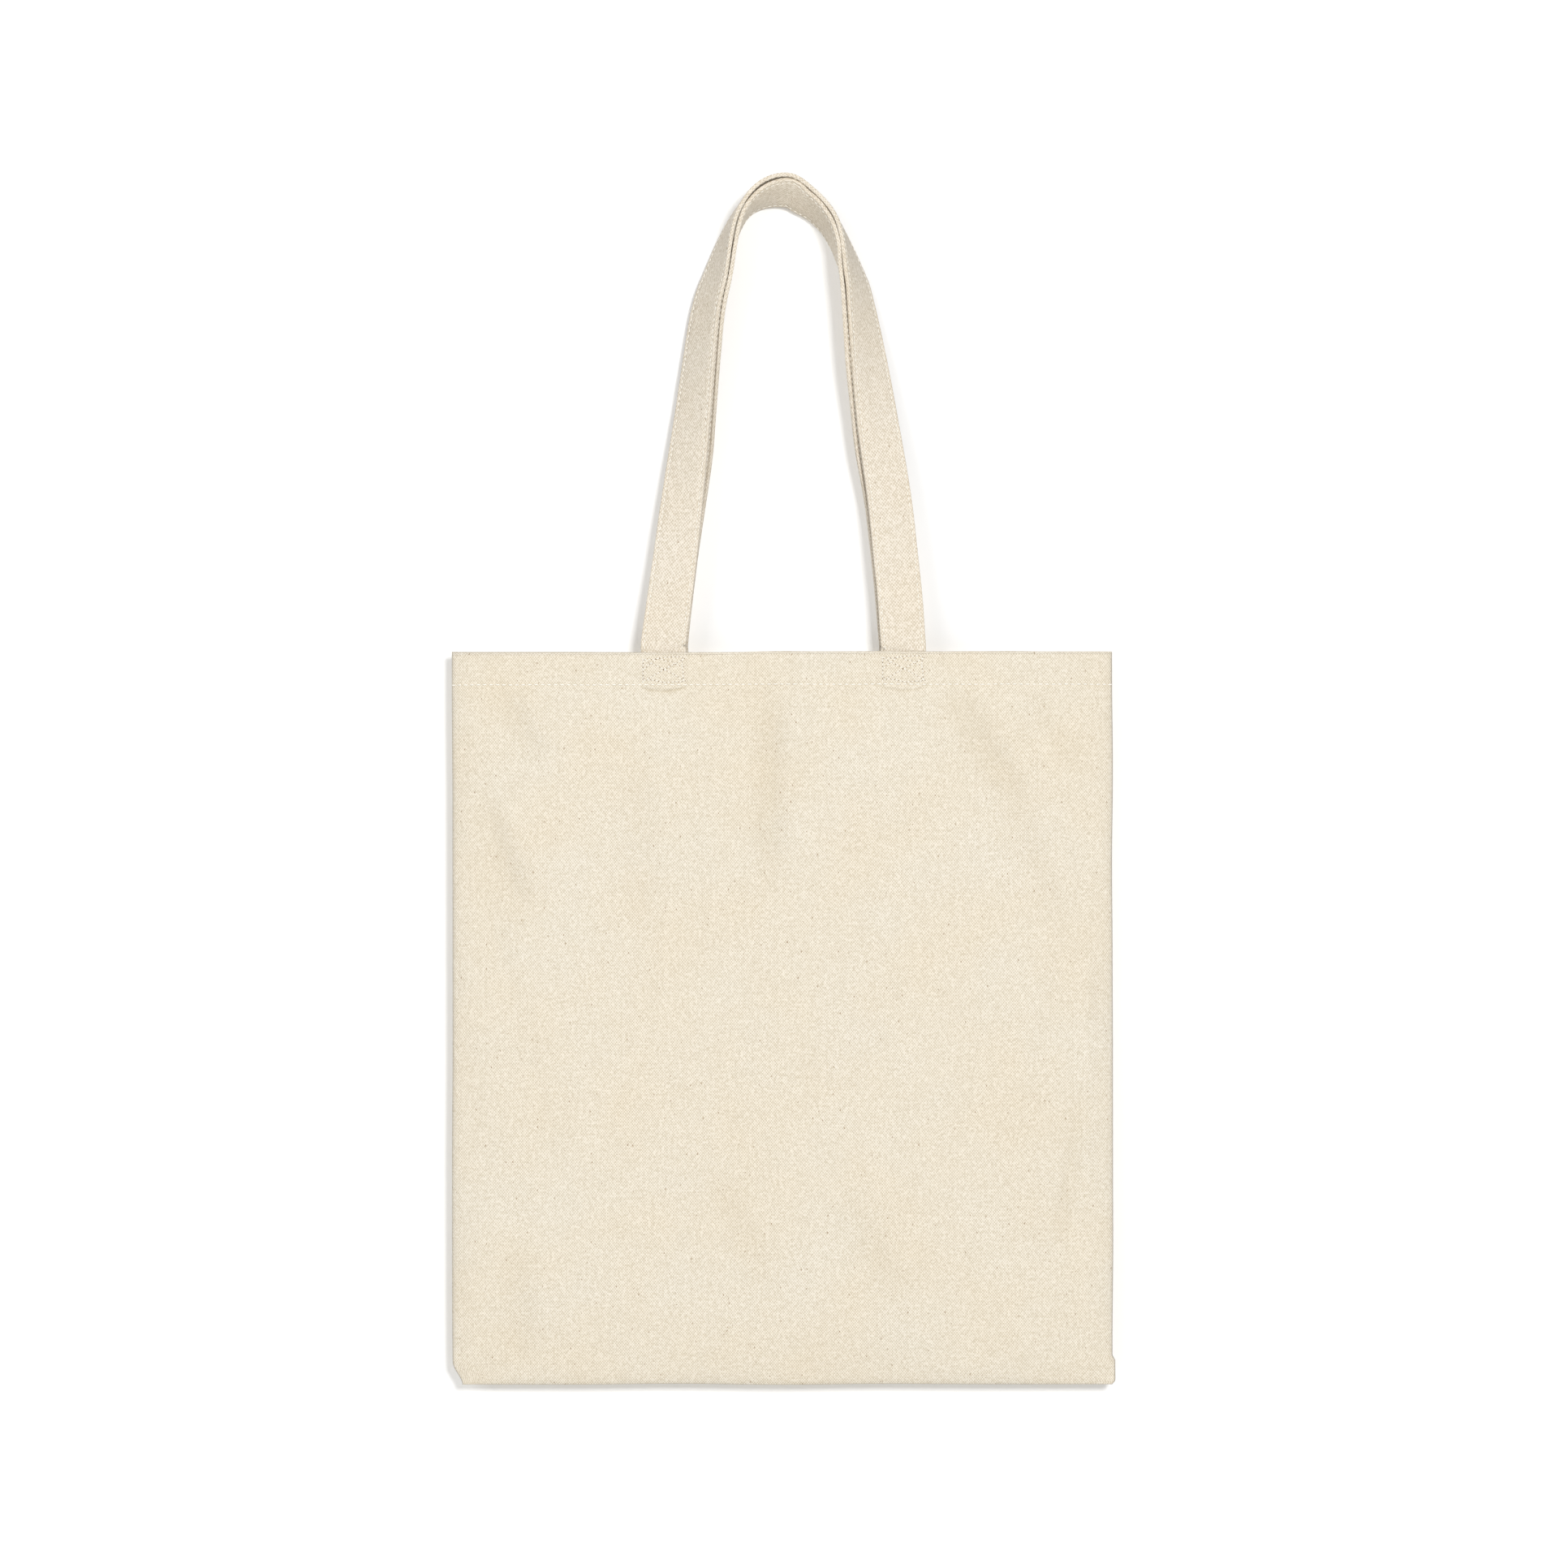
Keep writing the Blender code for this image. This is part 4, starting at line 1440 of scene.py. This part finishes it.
@dataclass
class Handle:
    """One long strap, sewn inside the mouth at both ends.

    Attributes:
        side: Which panel it is sewn to.
        form: The bag's form.
        width: Width of the strap.
        thickness: Its four layers of canvas.
        half_spread: Half of the distance between its legs.
        stitch_inset: Edge stitches, in from the strap's edge.
        station_step: Spacing of the mesh along it.
        joint_gap: Mouth edge to where the free strap starts.
        snug: Gap left where the inner strap lies against the outer one.
        groove_depth: How far the edge stitches pull the strap in.
        edge_round: Radius of its folded edges.
        nest_from: Above the mouth, where the straps start to come together.
        nest_over: The height over which they do.
        most_nesting: The farthest that the inner strap moves.
        bend_below: Not used.
        bend_above: Not used.
        rise: Mouth edge to the middle of the strap at the crown.
        strap_y: Place of the sewn ends' middle.
        end_bottom: Height of the sewn ends' lower edge.
    """

    side: Side
    form: BagForm
    width: float = 26 * MM
    thickness: float = 2.3 * MM
    half_spread: float = 68.5 * MM
    stitch_inset: float = 2.2 * MM
    station_step: float = 1.8 * MM
    joint_gap: float = 0.4 * MM
    snug: float = 0.45 * MM
    groove_depth: float = 0.34 * MM
    edge_round: float = 0.60 * MM
    nest_from: float = 90 * MM
    nest_over: float = 45 * MM
    most_nesting: float = 3 * MM
    bend_below: float = 2.0 * MM
    bend_above: float = 9.0 * MM
    rise: float = field(init=False)
    strap_y: float = field(init=False)
    end_bottom: float = field(init=False)

    def __post_init__(self) -> None:
        """Read the strap's place from the CAD handle and its sewn ends."""
        low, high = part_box(f"{self.side.label}_left_handle_end")
        self.strap_y = (low[1] + high[1]) / 2
        self.end_bottom = low[2]
        _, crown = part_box(f"{self.side.label}_handle")
        tilt = math.radians(max(point[2] for point in ROUTES[self.side]) - 90)
        lift = (self.width * math.sin(tilt) + 2 * MM * math.cos(tilt)) / 2
        self.rise = crown[2] - lift - self.form.mouth

    def _route_points(self) -> Array:
        """The route as closely spaced (x, y, z, twist) rows, with the sewn ends.

        Returns:
            Array of (n, 4).
        """
        knots = np.array(ROUTES[self.side], float)
        places = np.linspace(0, len(knots) - 1, 1200)
        weights = cubic_weights(places, len(knots))
        across, up, twist = (weights @ knots).T
        x = across * self.half_spread
        y = self.strap_y * (1 - smooth(up))
        z = self.form.mouth + self.joint_gap + up * (self.rise - self.joint_gap)
        loop = np.stack([x, y, z, np.radians(twist)], -1)
        drop = np.linspace(self.end_bottom, loop[0, 2], 20)[:-1]
        start = np.stack([np.full(19, loop[0, 0]), np.full(19, loop[0, 1]), drop,
                          np.zeros(19)], -1)
        end = start[::-1].copy()
        end[:, 0] = loop[-1, 0]
        return np.concatenate([start, loop, end])

    def frames(self) -> tuple[Array, Array, Array, Array]:
        """The strap's middle line and its directions at even steps.

        Returns:
            Middles, width directions and thickness directions as (n, 3) arrays, and
            the distance along the strap.
        """
        fine = self._route_points()
        travel = np.concatenate([[0], np.cumsum(np.linalg.norm(np.diff(fine[:, :3], axis=0),
                                                               axis=1))])
        count = round(travel[-1] / self.station_step) + 1
        even = np.linspace(0, travel[-1], count)
        line = np.stack([np.interp(even, travel, fine[:, i]) for i in range(4)], -1)
        middle, twist = line[:, :3], line[:, 3:]
        along = np.gradient(middle, axis=0)
        along /= np.linalg.norm(along, axis=1, keepdims=True)
        inside = np.stack([along[:, 2], np.zeros(count), -along[:, 0]], -1)
        inside /= np.linalg.norm(inside, axis=1, keepdims=True)
        near = np.array([0.0, -1.0, 0.0])
        width = inside * np.cos(twist) + near * np.sin(twist)
        width -= along * np.sum(width * along, axis=1, keepdims=True)
        width /= np.linalg.norm(width, axis=1, keepdims=True)
        if self.side is Side.BACK:
            middle = middle + self._nesting(middle + width * (self.width / 2))
        return middle, width, np.cross(along, width), even

    def _nesting(self, edge: Array) -> Array:
        """How far the inner strap moves to lie against the outer one.

        Args:
            edge: The inner strap's near edge, (n, 3).

        Returns:
            A move for each station, (n, 3).
        """
        outer_middle, outer_width, _, _ = Handle(Side.FRONT, self.form).frames()
        outer = outer_middle + outer_width * (self.width / 2)
        apart = outer[None, :, ::2] - edge[:, None, ::2]
        distance = np.linalg.norm(apart, axis=-1)
        nearest = distance.argmin(axis=1)
        rows = np.arange(len(edge))
        gap = distance[rows, nearest]
        high = smooth((edge[:, 2] - self.form.mouth - self.nest_from) / self.nest_over)
        size = np.clip(gap - self.thickness - self.snug, 0.0, self.most_nesting) * high
        move = np.zeros_like(edge)
        move[:, ::2] = apart[rows, nearest] / gap[:, None] * size[:, None]
        soften = np.ones(9) / 9
        for column in (0, 2):
            move[:, column] = np.convolve(move[:, column], soften, mode="same")
        return move

    def _section(self) -> Array:
        """One face of the strap's section as (across, out) rows, with its stitch grooves.

        Returns:
            Array of (n, 2), from one side of the strap to the other.
        """
        half, thick = self.width / 2, self.thickness / 2
        groove = half - self.stitch_inset
        across = np.linspace(-1, 1, 17) * (half - 1.0 * MM)
        extra = np.array([-groove, groove])
        across = np.unique(np.round(np.concatenate([across, extra - 0.6 * MM, extra,
                                                    extra + 0.6 * MM]), 6))
        across = across[np.abs(across) <= half - 0.95 * MM]
        dent = self.groove_depth * np.exp(-((np.abs(across) - groove) / (0.55 * MM)) ** 2)
        return np.stack([across, thick - dent], -1)

    def build(self) -> bpy.types.Mesh:
        """Loft the strap along its route.

        Returns:
            The closed strap.
        """
        middle, width, out, travel = self.frames()
        top = self._section()
        half, thick = self.width / 2, self.thickness / 2
        turns = np.radians([60, 25, 0, -25, -60])
        edge = np.stack([half - self.edge_round + self.edge_round * np.cos(turns),
                         thick * np.sign(turns) * np.sqrt(np.abs(np.sin(turns)))], -1)
        edge[2, 0] -= 0.25 * MM
        ring = np.concatenate([top, edge, top[::-1] * [1, -1], edge[::-1] * [-1, 1]])
        seed = 70 + self.side.value
        curl = wave(travel, 60 * MM, seed) * 0.35 * MM
        ripple = wave(travel, 9 * MM, seed + 2) * 0.10 * MM
        sway = wave(travel, 34 * MM, seed + 4) * 0.30 * MM
        free = smooth((middle[:, 2] - self.form.mouth) / (25 * MM))
        share = ring[:, 0] / half
        lift = (curl * free)[:, None] * (share**2 - 0.33)[None, :]
        lift += (ripple * free)[:, None] * np.cos(share * 2.1)[None, :]
        across = ring[:, 0][None, :] + (sway * free)[:, None]
        points = (middle[:, None, :] + width[:, None, :] * across[..., None]
                  + out[:, None, :] * (ring[:, 1][None, :] + lift)[..., None])
        return self._loft(points, ring, travel)

    def _loft(self, points: Array, ring: Array, travel: Array) -> bpy.types.Mesh:
        """Join the rings into a closed strap.

        Args:
            points: Array of (stations, ring points, 3).
            ring: The section, for the places on the flat cloth.
            travel: Distance along the strap at each station.

        Returns:
            The mesh, with its ends closed.
        """
        stations, around = points.shape[:2]
        index = np.arange(stations * around).reshape(stations, around)
        after = np.roll(index, -1, axis=1)
        walls = np.stack([index[:-1].ravel(), after[:-1].ravel(),
                          after[1:].ravel(), index[1:].ravel()], -1)
        girth = np.concatenate([[0], np.cumsum(np.linalg.norm(np.diff(ring, axis=0), axis=1))])
        uv = np.stack(np.meshgrid(girth, travel), -1).reshape(-1, 2)
        name = f"{self.side.label}_handle_strap"
        half = around // 2
        caps = []
        for row in (index[0], index[-1]):
            for i in range(half - 1):
                caps.append([row[i], row[i + 1], row[around - 2 - i], row[around - 1 - i]])
        first, last = np.array(caps[: half - 1]), np.array(caps[half - 1:])[:, ::-1]
        mesh = make_mesh(name, points.reshape(-1, 3), np.concatenate([walls, first, last]), uv)
        if signed_volume(mesh) < 0:
            mesh.flip_normals()
        return mesh

    def hold(self, piece: bpy.types.Object) -> None:
        """Bake a piece's place into its mesh.

        Args:
            piece: The strap or a row of its stitches.
        """
        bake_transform(piece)

    def dress(self, stitches: StitchTree, wardrobe: Wardrobe) -> None:
        """Build the strap and the rows of stitches along its edges.

        Args:
            stitches: The tree that lays stitches.
            wardrobe: The bag's materials.
        """
        label = self.side.label
        piece = add_piece(f"{label}_handle_strap", self.build(), wardrobe.strap)
        self.hold(piece)
        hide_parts(f"{label}_handle", f"{label}_left_handle_end",
                    f"{label}_right_handle_end")
        middle, width, out, travel = self.frames()
        across = self.width / 2 - self.stitch_inset
        lift = self.thickness / 2 - 0.12 * MM
        for row, sign in (("inner", 1), ("outer", -1)):
            line = middle + width * sign * across
            rows = [(line + out * lift, out), (line - out * lift, -out)]
            name = f"{label}_handle_{row}_stitching"
            thread = stitches.lay(name + "_rows", rows, wardrobe, STRAP_SEWING,
                                  seed=30 + sign)
            self.hold(thread)
            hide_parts(name)


@dataclass
class BoxStitch:
    """The crossed box of stitches that fixes one end of a strap through the hem.

    Attributes:
        drape: How the panel hangs.
        end: Which end of the handle.
        width: Width of the box.
        height: Height of the box.
    """

    drape: Drape
    end: str
    width: float = 22.5 * MM
    height: float = 13.5 * MM

    def dress(self, stitches: StitchTree, wardrobe: Wardrobe) -> None:
        """Lay the box, its cross and a stray row on the outer face.

        Args:
            stitches: The tree that lays stitches.
            wardrobe: The bag's materials.
        """
        side = self.drape.side
        node = f"{side.label}_{self.end}_box_stitch"
        low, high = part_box(node)
        middle_x, middle_z = (low[0] + high[0]) / 2, (low[2] + high[2]) / 2
        half_x, half_z = self.width / 2, self.height / 2
        corners = [(-1, -1), (-1, 1), (1, 1), (1, -1), (-1, -1), (1, 1)]
        lines = [corners, [(-1, 1), (1, -1)], [(-0.9, 0.1), (-0.3, 0.9), (0.4, 0.7), (0.9, 0.2)]]
        rows = []
        for number, line in enumerate(lines):
            knots = np.array(line, float) * [half_x, half_z]
            dense = np.concatenate([np.linspace(a, b, 14)[:-1]
                                    for a, b in zip(knots, knots[1:])] + [knots[-1:]])
            dense[:, 0] += wave(np.arange(len(dense)) * MM, 6 * MM, 90 + number) * 1.1 * MM
            dense[:, 1] += wave(np.arange(len(dense)) * MM, 5 * MM, 95 + number) * 0.9 * MM
            rows.append((self._on_cloth(dense + [middle_x, middle_z]),
                         np.tile([0.0, float(side.value), 0.0], (len(dense), 1))))
        piece = stitches.lay(node + "_thread", rows, wardrobe, BOX_SEWING, pits=True,
                             seed=50 + len(self.end))
        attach(piece, BAG_BODY)
        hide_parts(node)

    def _on_cloth(self, places: Array) -> Array:
        """Put flat (x, z) places on the draped outer face.

        Args:
            places: Array of (n, 2).

        Returns:
            Array of (n, 3), just outside the cloth.
        """
        points = np.array([self.drape.surface(np.array([x]), np.array([z]))[0, 0]
                           for x, z in places])
        points[:, 1] += self.drape.side.value * 0.12 * MM
        return points


# ---------- Studio ----------
@dataclass
class Studio:
    """A pale backdrop and floor, soft light and the camera.

    Attributes:
        form: The bag's form.
        view_height: Height of the view at the bag.
        lens: Focal length in millimetres.
        sensor: Sensor width in millimetres.
        aim: Middle of the view, (x, z) from the middle of the mouth edge.
        backdrop_gap: Middle plane of the bag to the wall.
        reach: Half of the wall's and the floor's width.
        drop: The floor, below the bag.
        surround: Strength of the world's light; the camera sees it as plain white.
    """

    form: BagForm
    view_height: float = 0.900
    lens: float = 135.0
    sensor: float = 36.0
    aim: tuple[float, float] = (0.9 * MM, -76.4 * MM)
    backdrop_gap: float = 14 * MM
    reach: float = 3.0
    drop: float = 0.22
    surround: float = 0.46

    def build(self) -> None:
        """Set up the whole studio."""
        self._camera()
        self._stage()
        self._lights()

    def _camera(self) -> None:
        """Look straight at the front of the bag with a long lens."""
        data = bpy.data.cameras.new("camera")
        data.lens, data.sensor_width = self.lens, self.sensor
        camera = bpy.data.objects.new("camera", data)
        distance = self.view_height * self.lens / self.sensor
        camera.location = (self.aim[0], -self.form.half_depth - distance,
                           self.form.mouth + self.aim[1])
        camera.rotation_euler = (math.pi / 2, 0.0, 0.0)
        bpy.context.scene.collection.objects.link(camera)
        bpy.context.scene.camera = camera
        bpy.context.scene.view_settings.view_transform = "Standard"

    def _plane(self, name: str, corners: list, material: bpy.types.Material) -> None:
        """Add one flat piece of the stage.

        Args:
            name: Name of the piece.
            corners: Its four corners, in order.
            material: Its material.
        """
        mesh = bpy.data.meshes.new(name)
        mesh.from_pydata(corners, [], [(0, 1, 2, 3)])
        add_piece(name, mesh, material)

    def _stage(self) -> None:
        """A wall just behind the bag that shows only from the front, and a floor."""
        wall, nodes, shader = new_material("backdrop")
        wall.node_tree.nodes.remove(shader)
        end = wall.node_tree.nodes["Material Output"]
        seen = nodes.add("ShaderNodeLightPath").outputs["Is Camera Ray"]
        behind = nodes.add("ShaderNodeNewGeometry").outputs["Backfacing"]
        shown = nodes.math("MULTIPLY", seen, nodes.math("SUBTRACT", 1.0, behind))
        paint = nodes.add("ShaderNodeBsdfDiffuse", {"Color": (0.99, 0.99, 0.99, 1.0)})
        clear = nodes.add("ShaderNodeBsdfTransparent")
        mixed = nodes.add("ShaderNodeMixShader", {0: shown, 1: clear.outputs[0],
                                                  2: paint.outputs[0]})
        nodes.link(mixed.outputs[0], end.inputs["Surface"])
        floor, _, shader = new_material("floor")
        shader.inputs["Base Color"].default_value = (0.86, 0.86, 0.85, 1.0)
        shader.inputs["Roughness"].default_value = 0.9
        reach, y = self.reach, self.backdrop_gap
        low, high = self.form.bottom - self.drop, 1.6
        self._plane("backdrop", [(-reach, y, low), (reach, y, low), (reach, y, high),
                                 (-reach, y, high)], wall)
        self._plane("floor", [(-reach, -reach, low), (reach, -reach, low), (reach, reach, low),
                              (-reach, reach, low)], floor)

    def _light(self, name: str, place: tuple, size: float, power: float) -> None:
        """Add a soft square light that shines at the middle of the bag.

        Args:
            name: Name of the light.
            place: Where it stands.
            size: Side of the square.
            power: Power in watts.
        """
        data = bpy.data.lights.new(name, "AREA")
        data.shape, data.size, data.energy = "SQUARE", size, power
        light = bpy.data.objects.new(name, data)
        light.location = place
        aim = Vector((0.0, 0.0, (self.form.mouth + self.form.bottom) / 2))
        light.rotation_euler = (aim - Vector(place)).to_track_quat("-Z", "Y").to_euler()
        bpy.context.scene.collection.objects.link(light)

    def _lights(self) -> None:
        """A key from the upper right, low fills from the left and behind, and an even surround."""
        self._light("key", (1.45, -4.7, 0.90), 1.0, 132.0)
        self._light("left_fill", (-2.6, -3.0, 0.9), 2.2, 37.0)
        self._light("back_fill", (-1.2, 2.4, 0.8), 1.2, 26.0)
        world = bpy.data.worlds.new("surround")
        world.use_nodes = True
        nodes = Nodes(world.node_tree)
        seen = nodes.add("ShaderNodeLightPath").outputs["Is Camera Ray"]
        strength = nodes.math("MULTIPLY_ADD", seen, 1.0 - self.surround, self.surround)
        background = world.node_tree.nodes["Background"]
        background.inputs["Color"].default_value = (1.0, 1.0, 1.0, 1.0)
        nodes.link(strength, background.inputs["Strength"])
        bpy.context.scene.world = world


def main() -> None:
    """Build the studio and the bag, piece by piece."""
    logging.basicConfig(level=logging.INFO, format="%(message)s")
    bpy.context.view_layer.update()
    form = BagForm.from_frame()
    Studio(form).build()
    wardrobe = Wardrobe()
    stitches = StitchTree()
    for side in Side:
        drape = Drape(form, side)
        drape.settle()
        Panel(drape).dress(wardrobe)
        LOG.info("%s panel", side.label)
        hem = Hem(drape)
        hem.dress(wardrobe)
        hem.dress_stitches(stitches, wardrobe)
        LOG.info("%s hem", side.label)
        Handle(side, form).dress(stitches, wardrobe)
        LOG.info("%s handle", side.label)
        for end in ("left", "right"):
            BoxStitch(drape, end).dress(stitches, wardrobe)
            LOG.info("%s %s box stitch", side.label, end)
    for name in ("left_seam_allowance", "right_seam_allowance", "bottom_seam_allowance"):
        SeamAllowance(name).dress(stitches, wardrobe)
        LOG.info("%s", name)


if __name__ == "__main__":
    main()
